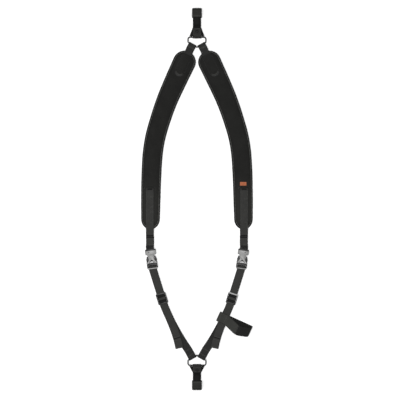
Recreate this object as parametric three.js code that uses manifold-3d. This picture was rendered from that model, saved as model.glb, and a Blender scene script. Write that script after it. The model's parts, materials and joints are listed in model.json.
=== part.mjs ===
// Padded twin-shoulder instrument strap, laid flat: two curved pads joined by a wire ring at each end,
// a snap hook on each ring, a side-release buckle and a tri-glide adjuster on each lower strap,
// and a webbing keeper loop on the right one.
//
// Millimetres. +Z is up, away from the surface the strap lies on. +Y runs towards the upper hook.
// The origin is the middle of the footprint, at the surface. "Right" is the +X side.
import * as THREE from "three";
import { mergeVertices } from "three/addons/utils/BufferGeometryUtils.js";
import Module from "manifold-3d";

const wasm = await Module();
wasm.setup();

// ---------------------------------------------------------------- driving dimensions
const GAP = 0.3; // clearance kept between pieces that touch
const RIGHT = 1;
const LEFT = -1;

const WEB = { width: 20, thick: 1.2 };

// Shoulder pad: centre line of the right one as [x, y, half width], top cap centre to bottom cap centre.
const PAD_ROUTE = [
  [31.5, 342.5, 28.5],
  [52.5, 297.5, 27.6],
  [74.5, 247.5, 26.4],
  [92, 197.5, 25.6],
  [104, 155, 25.3],
  [110.5, 115, 25.1],
  [114, 60, 24.8],
  [115.5, 0, 24.2],
  [116.3, -50, 23.2],
];
const PAD = {
  bottomCap: 26, // length of the elliptical lower end
  crown: 11, // height of the face at the middle
  panel: 1.2, // thickness of the face and backing fabrics
  lip: 5, // how far the binding reaches in from the edge
  lipThick: 1,
  edge: 5.6, // height of the bound edge
  rise: 12, // distance over which the face climbs from the lip to the crown
  panelInset: 1.4, // the face and the backing stop this far inside the binding's outer edge
};

// Wire ring, the same at both ends: a flat bar, two short sides and a V that the straps loop onto.
const RING = {
  wire: 1.6, // wire radius
  halfWidth: 22.4,
  height: 25, // flat bar to the V's point, centre to centre
  slope: THREE.MathUtils.degToRad(29),
  z: 4,
  topBar: 404.5,
  bottomBar: -415.8,
};

// Snap hook, in its own frame: the origin is the ring bar's centre and +Y runs out to the bend.
const HOOK = {
  floor: -3.2, // underside, relative to the ring bar
  wall: 3.4,
  throat: 4.6, // inner radius of the bend
  baseWidth: 38,
  neckWidth: 20.5,
  tipWidth: 24.5,
  tipLength: 23.5,
  plate: 1, // half thickness of the base
  plateStart: 3.4,
  cornerStart: 2.2, // the base's corners reach closer to the ring's bar than its middle
  webbing: 21,
};
const UPPER_HOOK = { length: 72.5, neckStart: 25, rivetAt: 14.5, webEnd: 23 };
const LOWER_HOOK = { length: 61.5, neckStart: 18.5, rivetAt: 11.8, webEnd: 17.5 };

const BUCKLE = {
  centre: [113.25, -152.5],
  tilt: THREE.MathUtils.degToRad(7.8),
  halfWidth: 13.3,
  z: 5,
  height: 9.2,
  mouth: -8.3, // where the socket ends and the plug's shoulder begins
  socketEnd: 27,
  socketBar: 25,
  plugBar: -16.4,
  plugBarZ: 4.4,
  plugEnd: -22.4,
};

const GLIDE = { centre: [87.4, -248.8], halfLength: 13.5, halfWidth: 12.6 };
const KEEPER = { centre: [64.6, -298], tilt: THREE.MathUtils.degToRad(24.5), width: 25, lean: 0.9 };

// ---------------------------------------------------------------- materials
const standard = (color, roughness, metalness = 0) =>
  new THREE.MeshStandardMaterial({ color, roughness, metalness });
const MATERIAL = {
  padFabric: standard(0x262625, 0.85),
  padMesh: standard(0x2b2b2b, 0.95),
  foam: standard(0x3a3a38, 0.95),
  binding: standard(0x1d1d1d, 0.8),
  webbing: standard(0x343432, 0.75),
  plastic: standard(0x1c1c1c, 0.35),
  wire: standard(0x17181a, 0.3, 0.6),
  steel: standard(0x8c8c8c, 0.35, 1),
  label: standard(0xb5562c, 0.7),
};

// ---------------------------------------------------------------- geometry helpers
const vec = (x, y, z = 0) => new THREE.Vector3(x, y, z);
const UP = vec(0, 0, 1);
const smooth = (t) => THREE.MathUtils.smoothstep(t, 0, 1);

// A closed triangle mesh from points and index triples, turned so that its faces point out.
function closedMesh(points, triangles) {
  let volume = 0;
  for (const [a, b, c] of triangles) {
    volume += points[a].dot(points[b].clone().cross(points[c]));
  }
  const turned = volume < 0 ? triangles.map(([a, b, c]) => [a, c, b]) : triangles;
  const geometry = new THREE.BufferGeometry();
  geometry.setAttribute(
    "position",
    new THREE.Float32BufferAttribute(points.flatMap((p) => p.toArray()), 3),
  );
  geometry.setIndex(turned.flat());
  return geometry;
}

// Sweeps a section, a list of [a, b], along frames { p, u, v }: each corner is p + a u + b v.
function sweep(frames, sectionAt, closed = false) {
  const count = sectionAt(frames[0]).length;
  const points = frames.flatMap((f) =>
    sectionAt(f).map(([a, b]) => f.p.clone().addScaledVector(f.u, a).addScaledVector(f.v, b)),
  );
  const triangles = [];
  const steps = closed ? frames.length : frames.length - 1;
  for (let i = 0; i < steps; i++) {
    const here = i * count;
    const next = ((i + 1) % frames.length) * count;
    for (let j = 0; j < count; j++) {
      const k = (j + 1) % count;
      triangles.push([here + j, next + j, next + k], [here + j, next + k, here + k]);
    }
  }
  if (!closed) {
    const outline = sectionAt(frames[0]).map(([a, b]) => new THREE.Vector2(a, b));
    const last = (frames.length - 1) * count;
    const clockwise = THREE.ShapeUtils.area(outline) < 0;
    for (const [a, b, c] of THREE.ShapeUtils.triangulateShape(outline, [])) {
      const cap = clockwise ? [c, b, a] : [a, b, c];
      triangles.push(cap, [last + cap[2], last + cap[1], last + cap[0]]);
    }
  }
  return closedMesh(points, triangles);
}

// A slab between two grids of points with the same rows and columns, closed round its border.
function slab(upper, lower) {
  const rows = upper.length;
  const columns = upper[0].length;
  const points = [...upper.flat(), ...lower.flat()];
  const under = rows * columns;
  const at = (i, j) => i * columns + j;
  const triangles = [];
  const quad = (a, b, c, d) => triangles.push([a, b, c], [a, c, d]);
  for (let i = 0; i < rows - 1; i++) {
    for (let j = 0; j < columns - 1; j++) {
      const [a, b, c, d] = [at(i, j), at(i + 1, j), at(i + 1, j + 1), at(i, j + 1)];
      quad(a, b, c, d);
      quad(a + under, d + under, c + under, b + under);
    }
  }
  const border = [];
  for (let j = 0; j < columns - 1; j++) border.push(at(0, j));
  for (let i = 0; i < rows - 1; i++) border.push(at(i, columns - 1));
  for (let j = columns - 1; j > 0; j--) border.push(at(rows - 1, j));
  for (let i = rows - 1; i > 0; i--) border.push(at(i, 0));
  border.forEach((a, i) => {
    const b = border[(i + 1) % border.length];
    quad(a, b, b + under, a + under);
  });
  return closedMesh(points, triangles);
}

// Fills in each frame of a ribbon: u across it and level, v out of its face.
function ribbonFrames(stations, closed = false) {
  const last = stations.length - 1;
  const wrap = (i) => (closed ? (i + last + 1) % (last + 1) : Math.min(Math.max(i, 0), last));
  let before = null;
  return stations.map((station, i) => {
    const along = stations[wrap(i + 1)].p.clone().sub(stations[wrap(i - 1)].p).normalize();
    const u = station.u ? station.u.clone() : vec(along.y, -along.x).normalize();
    if (before && before.dot(u) < 0) u.negate();
    before = u;
    const v = along.clone().cross(u).normalize();
    return { p: station.p, u, v, width: station.width, thick: station.thick };
  });
}

// Webbing along stations { p, u?, width?, thick? }: a flat strip of rectangular section.
function ribbon(stations, { width = WEB.width, thick = WEB.thick, closed = false } = {}) {
  const sectionAt = (frame) => {
    const a = (frame.width ?? width) / 2;
    const b = (frame.thick ?? thick) / 2;
    return [[-a, -b], [a, -b], [a, b], [-a, b]];
  };
  return sweep(ribbonFrames(stations, closed), sectionAt, closed);
}

// Stations along a smooth curve through [x, y, z] points, on either side of the strap.
function run(side, route, steps) {
  const points = route.map(([x, y, z]) => vec(side * x, y, z));
  const curve = new THREE.CatmullRomCurve3(points, false, "centripetal");
  return curve.getSpacedPoints(steps).map((p) => ({ p }));
}

// Stations half round a bar: from under it to over it, round the side that `outward` points to.
function fold(centre, outward, radius, steps = 6) {
  const u = UP.clone().cross(outward).normalize();
  return Array.from({ length: steps + 1 }, (_, i) => {
    const angle = -Math.PI / 2 + (Math.PI * i) / steps;
    const p = centre.clone().addScaledVector(outward, radius * Math.cos(angle));
    p.addScaledVector(UP, radius * Math.sin(angle));
    return { p, u };
  });
}

// A corner-rounded closed polygon in the XY plane, as points; each corner is [x, y, radius].
function roundedPolygon(corners, steps = 4) {
  const path = new THREE.Path();
  const at = (i) => corners[(i + corners.length) % corners.length];
  corners.forEach(([x, y, radius], i) => {
    const corner = new THREE.Vector2(x, y);
    const towards = (k) => new THREE.Vector2(at(k)[0], at(k)[1]).sub(corner).normalize();
    const inDir = towards(i - 1);
    const outDir = towards(i + 1);
    const half = Math.acos(inDir.dot(outDir)) / 2;
    const reach = radius / Math.tan(half);
    const start = corner.clone().addScaledVector(inDir, reach);
    const end = corner.clone().addScaledVector(outDir, reach);
    if (i === 0) path.moveTo(start.x, start.y);
    else path.lineTo(start.x, start.y);
    path.quadraticCurveTo(x, y, end.x, end.y);
  });
  path.closePath();
  const points = path.getPoints(steps);
  return points.filter((p, i) => i === 0 || p.distanceTo(points[i - 1]) > 0.01).slice(0, -1);
}

const box = (x0, x1, y0, y1, z0, z1) =>
  new THREE.BoxGeometry(x1 - x0, y1 - y0, z1 - z0).translate((x0 + x1) / 2, (y0 + y1) / 2, (z0 + z1) / 2);

// A prism of a shape drawn as [x, y] points, from z0 to z1.
function prism(outline, z0, z1) {
  const shape = new THREE.Shape(outline.map(([x, y]) => new THREE.Vector2(x, y)));
  return new THREE.ExtrudeGeometry(shape, { depth: z1 - z0, bevelEnabled: false }).translate(0, 0, z0);
}

// A prism of a side view drawn in (y, z), `width` wide and centred on x = 0.
function sideProfile(shape, width, curveSegments = 8) {
  const geometry = new THREE.ExtrudeGeometry(shape, { depth: width, bevelEnabled: false, curveSegments });
  geometry.applyMatrix4(new THREE.Matrix4().makeBasis(vec(0, 1, 0), vec(0, 0, 1), vec(1, 0, 0)));
  return geometry.translate(-width / 2, 0, 0);
}

// A cylinder of radius r between two points.
function rod(from, to, r, sides = 16) {
  const length = from.distanceTo(to);
  const geometry = new THREE.CylinderGeometry(r, r, length, sides);
  const turn = new THREE.Quaternion().setFromUnitVectors(vec(0, 1, 0), to.clone().sub(from).normalize());
  const middle = from.clone().add(to).multiplyScalar(0.5);
  return geometry.applyQuaternion(turn).translate(middle.x, middle.y, middle.z);
}

function solidOf(geometry) {
  const bare = geometry.clone();
  bare.deleteAttribute("normal");
  bare.deleteAttribute("uv");
  const merged = mergeVertices(bare, 1e-3);
  return new wasm.Manifold(
    new wasm.Mesh({
      numProp: 3,
      vertProperties: new Float32Array(merged.attributes.position.array),
      triVerts: new Uint32Array(merged.index.array),
    }),
  );
}

function geometryOf(solid) {
  const mesh = solid.getMesh();
  const geometry = new THREE.BufferGeometry();
  geometry.setAttribute("position", new THREE.BufferAttribute(new Float32Array(mesh.vertProperties), 3));
  geometry.setIndex(new THREE.BufferAttribute(new Uint32Array(mesh.triVerts), 1));
  return geometry;
}

const join = (...parts) => geometryOf(parts.map(solidOf).reduce((a, b) => a.add(b)));
const cut = (body, ...tools) => geometryOf(tools.map(solidOf).reduce((a, b) => a.subtract(b), solidOf(body)));

function piece(parent, name, geometry, material) {
  const mesh = new THREE.Mesh(geometry, material);
  mesh.name = name;
  geometry.computeVertexNormals();
  parent.add(mesh);
  return mesh;
}

const sideName = (side) => (side === RIGHT ? "right" : "left");
const strap = new THREE.Group();

// ---------------------------------------------------------------- shoulder pads
// Rows across the pad from its top to its bottom: centre, unit vector across, half width, and how far
// the row lies into a rounded end.
function padRows(side, inset = 0) {
  const route = PAD_ROUTE.map(([x, y, w]) => vec(side * x, y, w));
  const curve = new THREE.CatmullRomCurve3(route, false, "centripetal");
  const capAngles = [80, 58, 36, 17].map(THREE.MathUtils.degToRad);
  const rowAt = (t) => {
    const here = curve.getPointAt(t);
    const along = curve.getTangentAt(t).setZ(0).normalize();
    return { centre: vec(here.x, here.y), along, across: vec(along.y, -along.x), half: here.z - inset };
  };
  const cap = (row, sign, length) => (angle) => {
    const into = Math.sin(angle);
    return {
      ...row,
      centre: row.centre.clone().addScaledVector(row.along, sign * (length - inset) * into),
      half: row.half * Math.cos(angle),
      full: row.half,
      into: row.half * into,
    };
  };
  const first = rowAt(0);
  const end = rowAt(1);
  const middles = Array.from({ length: 15 }, (_, i) => rowAt(i / 14));
  return [
    ...capAngles.map(cap(first, -1, first.half + inset)),
    ...middles.map((row) => ({ ...row, full: row.half, into: 0 })),
    ...capAngles.reverse().map(cap(end, 1, PAD.bottomCap)),
  ];
}

// Height of the face fabric's upper side at a distance in from the pad's edge.
const faceHeight = (inset) => {
  const low = PAD.edge - PAD.lipThick - GAP;
  return low + (PAD.crown - low) * smooth((inset - PAD.lip - 1.4) / PAD.rise);
};
const backingHeight = (inset) => (PAD.lipThick + GAP) * (1 - smooth((inset - PAD.lip - 1) / 3));
// Height of whatever is uppermost there, the binding's lip or the face.
const padSurface = (inset) => (inset < PAD.lip + GAP ? PAD.edge : Math.max(PAD.edge, faceHeight(inset)));

const PAD_COLUMNS = [-1, -0.84, -0.68, -0.36, 0.36, 0.68, 0.84, 1];

// A layer of the pad, between two heights that depend on the distance in from the pad's edge. Every
// layer is cut from the same grid; `trim` leaves out that many rows and columns round its border.
function padLayer(side, trim, upperAt, lowerAt) {
  const inset = PAD.panelInset;
  const inside = (list) => list.slice(trim, list.length - trim);
  const grid = (heightAt) =>
    inside(padRows(side, inset)).map((row) =>
      inside(PAD_COLUMNS).map((t) => {
        const fromEdge = row.full - Math.hypot(t * row.half, row.into) + inset;
        const p = row.centre.clone().addScaledVector(row.across, t * row.half);
        return p.setZ(heightAt(fromEdge));
      }),
    );
  return slab(grid(upperAt), grid(lowerAt));
}

// Binding tape folded round the pad's edge: a C-shaped section swept round the outline.
function padBinding(side) {
  const rows = padRows(side);
  const edge = (sign) => rows.map((row) => row.centre.clone().addScaledVector(row.across, sign * row.half));
  const outline = [...edge(1), ...edge(-1).reverse()];
  const frames = outline.map((p, i) => {
    const before = outline[(i + outline.length - 1) % outline.length];
    const after = outline[(i + 1) % outline.length];
    const along = after.clone().sub(before).normalize();
    return { p, u: along.cross(UP).multiplyScalar(side), v: UP };
  });
  const { lipThick, edge: top } = PAD;
  const reach = PAD.lip - 0.6;
  const wall = 0.9;
  const section = [
    [0, 0], [-reach, 0], [-reach, lipThick], [-wall, lipThick],
    [-wall, top - lipThick], [-reach, top - lipThick], [-reach, top], [0, top],
  ];
  const inward = frames[0].u.dot(frames[0].p.clone().sub(rows[8].centre)) > 0 ? 1 : -1;
  return sweep(frames, () => section.map(([a, b]) => [a * inward, b]), true);
}

// Where the axis of the pad's upper end lies, a distance in from its very top.
function topAxis(side, distance) {
  const rows = padRows(side);
  const centres = rows.map((row) => row.centre);
  const tip = centres[4].clone().addScaledVector(rows[4].along, -PAD_ROUTE[0][2]);
  const curve = new THREE.CatmullRomCurve3([tip, ...centres.slice(4)], false, "centripetal");
  const t = distance / curve.getLength();
  return { p: curve.getPointAt(t), along: curve.getTangentAt(t) };
}

// Stations down the upper end of the pad that the webbing and the cover over it share.
const ANCHOR_STEPS = [3, 9, 14, 19, 26, 34, 45, 53.5, 58, 62, 65, 66.7];
const ANCHOR_WEB_END = 7; // the last of them that the webbing reaches
const anchorHeight = (distance) => padSurface(Math.min(distance + 1, PAD_ROUTE[0][2]));

// Fabric patch sewn over the end of the upper webbing: rounded at its lower end.
function anchorCover(side) {
  const half = 13.5;
  const steps = ANCHOR_STEPS.slice(1);
  const end = steps.at(-1) + 0.3;
  const capHalf = (left) => (left < half ? Math.sqrt(half ** 2 - (half - left) ** 2) : half);
  const columns = [-1, -0.9, -0.78, 0.78, 0.9, 1];
  const raise = WEB.thick + 2 * GAP;
  const grid = (lift) =>
    steps.map((distance, i) => {
      const { p, along } = topAxis(side, distance);
      const across = vec(along.y, -along.x);
      const w = Math.max(capHalf(end - distance), 3);
      return columns.map((t) => {
        const over = Math.abs(t) < 0.8 && i < ANCHOR_WEB_END;
        const q = p.clone().addScaledVector(across, t * w);
        return q.setZ(anchorHeight(distance) + (over ? raise : GAP) + lift);
      });
    });
  return slab(grid(1), grid(0));
}

function shoulderPad(side) {
  const name = sideName(side);
  const { panel } = PAD;
  const add = (label, geometry, material) => piece(strap, `${name}_pad_${label}`, geometry, material);
  add("backing", padLayer(side, 0, (e) => backingHeight(e) + panel, backingHeight), MATERIAL.padMesh);
  add(
    "foam_core",
    padLayer(side, 2, (e) => faceHeight(e) - panel - GAP, (e) => backingHeight(e) + panel + GAP),
    MATERIAL.foam,
  );
  add("face", padLayer(side, 0, faceHeight, (e) => faceHeight(e) - panel), MATERIAL.padFabric);
  add("binding", padBinding(side), MATERIAL.binding);
  add("anchor_cover", anchorCover(side), MATERIAL.padFabric);
}

// ---------------------------------------------------------------- rings
function ringCorners() {
  const { halfWidth, height, slope } = RING;
  const shoulder = -height + halfWidth * Math.tan(slope);
  return [
    [-halfWidth, 0, 5],
    [-halfWidth, shoulder, 4],
    [0, -height, 3],
    [halfWidth, shoulder, 4],
    [halfWidth, 0, 5],
  ];
}

// A ring whose flat bar is at y and whose V points the way `down` says, -1 or 1.
function ring(name, y, down) {
  const outline = roundedPolygon(ringCorners(), 4).map((p) => vec(p.x, -down * p.y + y, RING.z));
  const frames = outline.map((p, i) => {
    const before = outline[(i + outline.length - 1) % outline.length];
    const after = outline[(i + 1) % outline.length];
    return { p, u: after.clone().sub(before).normalize().cross(UP), v: UP };
  });
  const sides = 10;
  const section = Array.from({ length: sides }, (_, i) => {
    const angle = (2 * Math.PI * i) / sides;
    return [RING.wire * Math.cos(angle), RING.wire * Math.sin(angle)];
  });
  piece(strap, name, sweep(frames, () => section, true), MATERIAL.wire);
}

// Middle of the ring's sloping bar on one side, and the way the strap leaves it.
function slopingBar(side, barY, down) {
  const half = RING.halfWidth / 2;
  const y = barY + down * (RING.height - half * Math.tan(RING.slope));
  return {
    centre: vec(side * half, y, RING.z),
    away: vec(side * Math.sin(RING.slope), down * Math.cos(RING.slope)),
  };
}

const barFoldRadius = (bar, thick = WEB.thick) => bar + GAP + 0.05 + thick / 2;

// ---------------------------------------------------------------- upper webbing, ring to pad
function upperWeb(side) {
  const { centre, away } = slopingBar(side, RING.topBar, -1);
  const radius = barFoldRadius(RING.wire);
  const back = (d, z) => ({ p: centre.clone().addScaledVector(away, d).setZ(z) });
  const low = RING.z - radius;
  const onPad = ANCHOR_STEPS.slice(0, ANCHOR_WEB_END).map((distance) => {
    const { p, along } = topAxis(side, distance);
    const height = anchorHeight(distance) + GAP + WEB.thick / 2;
    return { p: p.setZ(height), u: vec(along.y, -along.x) };
  });
  const stations = [
    back(14, low),
    back(5, low),
    ...fold(centre, away.clone().negate(), radius),
    back(6, RING.z + radius - 0.3),
    back(13, PAD.edge + GAP + WEB.thick / 2 + 0.2),
    ...onPad,
  ];
  piece(strap, `${sideName(side)}_upper_web`, ribbon(stations), MATERIAL.webbing);
}

// ---------------------------------------------------------------- buckles
const buckleAxis = (side) => vec(side * Math.sin(BUCKLE.tilt), Math.cos(BUCKLE.tilt));
function bucklePoint(side, y, z) {
  const [x0, y0] = BUCKLE.centre;
  return vec(side * x0, y0).addScaledVector(buckleAxis(side), y).setZ(z);
}

// Webbing sewn to the lower end of the pad, round the socket's bar and back up in front.
function socketWeb(side) {
  const x = 118;
  const top = 25;
  const padEnd = PAD_ROUTE.at(-1)[1] - PAD.bottomCap;
  const lift = GAP + WEB.thick / 2;
  const onPad = [top, -10, -45, -56, -62, -67, -71, padEnd].map((y) => {
    const inset = y - padEnd;
    return { p: vec(side * x, y, padSurface(Math.min(inset + 3, 30)) + lift) };
  });
  const bar = bucklePoint(side, BUCKLE.socketBar, BUCKLE.z);
  const axis = buckleAxis(side);
  const radius = barFoldRadius(1.7);
  const low = BUCKLE.z - radius;
  const ahead = (d, z) => ({ p: bar.clone().addScaledVector(axis, d).setZ(z) });
  const onTop = (y, more = 0) => ({ p: vec(side * (x - 0.7), y, low + WEB.thick + GAP + more) });
  const stations = [
    ...onPad,
    { p: vec(side * x, padEnd - 7, 4) },
    { p: vec(side * x, padEnd - 12, low) },
    { p: vec(side * (x - 0.4), -105, low) },
    ahead(8, low),
    ...fold(bar, axis.clone().negate(), radius),
    ahead(3, BUCKLE.z + radius - 0.4),
    ahead(8, BUCKLE.z + 0.6),
    onTop(-114, 0.1),
    onTop(-103),
    onTop(-92),
  ];
  piece(strap, `${sideName(side)}_socket_web`, ribbon(stations), MATERIAL.webbing);
}

// Box whose x range is given for the right-hand side and mirrored by s.
const sidedBox = (s, x0, x1, ...rest) => box(Math.min(s * x0, s * x1), Math.max(s * x0, s * x1), ...rest);
const outlineOf = (corners, steps) => roundedPolygon(corners, steps).map((p) => [p.x, p.y]);

// Side-release socket: a flat box with an hourglass face, open at the mouth and at both sides, with an
// arched sight hole just inside the mouth.
function socketGeometry() {
  const { halfWidth: w, height, mouth, socketEnd: end, socketBar } = BUCKLE;
  const h = height / 2;
  const face = h - 1.05; // underside of the face over the webbing
  const body = prism(outlineOf([[-w, mouth, 1], [w, mouth, 1], [w, end, 1.2], [-w, end, 1.2]], 3), -h, h);
  const window = (s) => {
    const edge = [[16, -5], [11.4, -5], [8.3, -1.5], [7, 3], [6.6, 7], [7.4, 10.5], [9.6, 14], [16, 14]];
    return prism(edge.map(([x, y]) => [s * x, y]), -h - 1, h + 1);
  };
  const sight = [[-6, -7], [6, -7], [6.1, -5.2], [3.6, -3.6], [0, -3], [-3.6, -3.6], [-6.1, -5.2]];
  const bar = rod(vec(-12, socketBar, 0), vec(12, socketBar, 0), 1.7);
  const hollow = cut(
    body,
    box(-11.4, 11.4, mouth - 1, 12, -h + 1.8, h - 1.8), // where the plug goes in
    box(-11, 11, 15.6, end + 1, -h - 1, face), // webbing slot, the bar is put back below
    box(-20, 20, 20, end + 1, -h - 1, -h + 1.6),
    prism(sight, -h - 1, h + 1),
    window(1),
    window(-1),
  );
  return join(hollow, bar);
}

// Plug: shoulder and a two-bar adjuster that the strap is threaded round.
function plugGeometry() {
  const { halfWidth: w, mouth, plugBar, plugBarZ, plugEnd, z } = BUCKLE;
  const h = 3.8;
  const top = mouth - 0.4;
  const corners = [
    [-w, top, 1.5], [-w, plugEnd + 3.4, 1], [-11.8, plugEnd, 2],
    [11.8, plugEnd, 2], [w, plugEnd + 3.4, 1], [w, top, 1.5],
  ];
  const body = prism(outlineOf(corners, 3), -h, h);
  const slot = box(-11.3, 11.3, plugEnd - 1, plugBar + 3.4, -h - 1, h + 1);
  const armSlots = [1, -1].map((s) => sidedBox(s, 4.6, 11.8, -12.6, -7, -2.6, 2.6));
  const main = rod(vec(-12.2, plugBar, plugBarZ - z), vec(12.2, plugBar, plugBarZ - z), 1.5);
  const end = box(-12.2, 12.2, plugEnd, plugEnd + 2.6, 1.6, h);
  return join(cut(body, slot, ...armSlots), main, end);
}

// One sprung arm of the plug: root in the shoulder, a press pad out in the socket's window, and a
// shoulder that catches behind the socket's mouth.
function armGeometry(s) {
  const outline = [
    [6.4, -11.9], [10.2, -11.9], [10.6, -9], [10.8, -4.7], [12.6, -4.7], [12.9, -2], [12.7, 3],
    [11.8, 6.5], [10.6, 9.6], [8.6, 10], [7.9, 6], [8, 1], [7.6, -5], [6.4, -9],
  ];
  return prism(outline.map(([x, y]) => [s * x, y]), -2.1, 2.1);
}

function buckle(side) {
  const name = sideName(side);
  const group = new THREE.Group();
  group.position.set(side * BUCKLE.centre[0], BUCKLE.centre[1], BUCKLE.z);
  group.rotation.z = -side * BUCKLE.tilt;
  strap.add(group);
  piece(group, `${name}_buckle_socket`, socketGeometry(), MATERIAL.plastic);
  piece(group, `${name}_buckle_plug`, plugGeometry(), MATERIAL.plastic);
  piece(group, `${name}_buckle_outer_arm`, armGeometry(side), MATERIAL.plastic);
  piece(group, `${name}_buckle_inner_arm`, armGeometry(-side), MATERIAL.plastic);
}

// ---------------------------------------------------------------- lower strap and its adjuster
const glideTilt = () => {
  const q = bucklePoint(RIGHT, -24.5, 0);
  return Math.atan2(q.x - GLIDE.centre[0], q.y - GLIDE.centre[1]);
};
const LAYER = { lower: 2.9, upper: 2.9 + WEB.thick + GAP }; // heights of the two layers in the tri-glide

// Point on the straight stretch through the tri-glide, a distance up from its centre.
function glidePoint(distance) {
  const tilt = glideTilt();
  return [GLIDE.centre[0] + distance * Math.sin(tilt), GLIDE.centre[1] + distance * Math.cos(tilt)];
}

const STANDING_ROUTE = [[66, -302.5], [53, -327.5], [38.4, -352.5]];
const TAIL_ROUTE = [[56.4, -327.5], [48.4, -352.5], [43.6, -373]];
const TAIL_START = [61, -316]; // where the free end of each strap starts to lift

// One length of webbing: round the lower ring, up through the tri-glide, round the plug's bar and back
// down through the tri-glide, as far as where the free end starts.
function adjusterWeb(side) {
  const { centre, away } = slopingBar(side, RING.bottomBar, 1);
  const radius = barFoldRadius(RING.wire);
  const atRing = (d, z) => {
    const p = centre.clone().addScaledVector(away, d);
    return [side * p.x, p.y, z];
  };
  const low = RING.z - radius;
  const at = (d, z) => [...glidePoint(d), z];
  const nearPlug = (y, z) => {
    const p = bucklePoint(RIGHT, y, z);
    return [p.x, p.y, z];
  };
  const bar = bucklePoint(side, BUCKLE.plugBar, BUCKLE.plugBarZ);
  const plugRadius = barFoldRadius(1.5);
  const { plugBar } = BUCKLE;
  const underBar = BUCKLE.plugBarZ - plugRadius;
  // From over the plug's bar down under its end bar.
  const overEndBar = [
    nearPlug(plugBar - 1.5, 6.5),
    nearPlug(plugBar - 4.1, 4.9),
    nearPlug(plugBar - 6.5, 4.6),
    at(66, 4.5),
    at(56, LAYER.upper),
  ];
  const standing = [
    atRing(7, RING.z + 1.4),
    atRing(13, 2.7),
    atRing(20, 2.6),
    ...STANDING_ROUTE.map(([x, y]) => [x, y, 2.6]).reverse(),
    at(-20, LAYER.lower),
  ];
  const stations = [
    ...run(side, [atRing(26, low), atRing(3, low)], 2),
    ...fold(centre, away.clone().negate(), radius),
    ...run(side, standing, 16),
    ...run(side, [at(-10, LAYER.lower), at(56, LAYER.lower)], 2),
    ...run(side, [at(64, 2.7), nearPlug(plugBar - 6.5, 2.3), nearPlug(plugBar - 2.5, underBar)], 3),
    ...fold(bar, buckleAxis(side), plugRadius),
    ...run(side, overEndBar, 6),
    ...run(side, [at(20, LAYER.upper), at(-18, LAYER.upper)], 2),
    ...run(side, [at(-22, LAYER.upper), [66.4, -302.5, LAYER.upper], [...TAIL_START, LAYER.upper]], 5),
  ];
  piece(strap, `${sideName(side)}_adjuster_web`, ribbon(stations), MATERIAL.webbing);
}

// The free end of the strap, with its end turned over and sewn.
function tailEnd(side) {
  const route = [TAIL_START, ...TAIL_ROUTE].map(([x, y], i) => [x, y, LAYER.upper + 0.1 * i]);
  const stations = run(side, route, 9);
  const along = stations[1].p.clone().sub(stations[0].p).normalize();
  stations[0].p.addScaledVector(along, 0.9);
  const hem = 6;
  const thickHem = 2 * WEB.thick + 0.2;
  const shaped = stations.map(({ p }, i) =>
    i < hem ? { p } : { p: p.clone().add(vec(0, 0, (thickHem - WEB.thick) / 2)), thick: thickHem },
  );
  piece(strap, `${sideName(side)}_tail_end`, ribbon(shaped), MATERIAL.webbing);
}

// Tri-glide: outer bars over the webbing, centre bar under it, and two side rails.
function triGlide(side) {
  const { centre, halfLength: l, halfWidth: w } = GLIDE;
  const over = LAYER.upper + WEB.thick / 2 + GAP;
  const under = LAYER.lower - WEB.thick / 2 - GAP;
  const inner = w - 2;
  const rail = (s) => {
    const outline = roundedPolygon([[inner, -l, 0.4], [w, -l, 1.4], [w, l, 1.4], [inner, l, 0.4]], 2);
    return prism(outline.map((p) => [s * p.x, p.y]), under - 1.7, over + 1.7);
  };
  const outerBar = (y) => box(-inner - 1, inner + 1, y, y + 3, over, over + 1.7);
  const centreBar = box(-inner - 1, inner + 1, -2.2, 2.2, under - 1.7, under);
  const mesh = piece(
    strap,
    `${sideName(side)}_tri_glide`,
    join(rail(1), rail(-1), outerBar(l - 3), outerBar(-l), centreBar),
    MATERIAL.plastic,
  );
  mesh.position.set(side * centre[0], centre[1], 0);
  mesh.rotation.z = -side * glideTilt();
}

// Keeper loop of webbing round the right strap, standing open to the side.
function keeperLoop() {
  const { centre, tilt, width, lean } = KEEPER;
  const out = vec(Math.cos(tilt), -Math.sin(tilt));
  const along = vec(Math.sin(tilt), Math.cos(tilt));
  const lowest = GAP + WEB.thick / 2 + 0.1;
  const over = LAYER.upper + WEB.thick + GAP + 0.1;
  // Corners as [outwards from the strap, height, radius].
  const corners = [
    [-12.4, lowest, 1.5], [76.1, lowest, 4.5], [76.1, 10.5, 4.5],
    [46, 19.6, 24], [9, over, 5], [-12.4, over, 1.5],
  ];
  const profile = roundedPolygon(corners, 6);
  // The upper layer leans towards the lower hook, the more the higher it stands off the strap.
  const points = profile.map(({ x, y }) => {
    const back = -lean * Math.max(y - over, 0);
    return vec(centre[0], centre[1], y).addScaledVector(out, x).addScaledVector(along, back);
  });
  // The webbing's width stays parallel to the strap all the way round.
  const frames = points.map((p, i) => {
    const before = points[(i + points.length - 1) % points.length];
    const after = points[(i + 1) % points.length];
    const forward = after.clone().sub(before).normalize();
    return { p, u: along, v: forward.cross(along).normalize() };
  });
  const a = width / 2;
  const b = WEB.thick / 2;
  const section = () => [[-a, -b], [a, -b], [a, b], [-a, b]];
  piece(strap, "keeper_loop", sweep(frames, section, true), MATERIAL.webbing);
}

// Plain sewn patch on the right pad.
function label() {
  const outline = roundedPolygon([[-8, -4.5, 1.5], [8, -4.5, 1.5], [8, 4.5, 1.5], [-8, 4.5, 1.5]], 3);
  const mesh = piece(strap, "pad_label", prism(outline.map((p) => [p.x, p.y]), 0, 0.9), MATERIAL.label);
  mesh.position.set(115.5, 38, PAD.crown + GAP);
}

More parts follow.
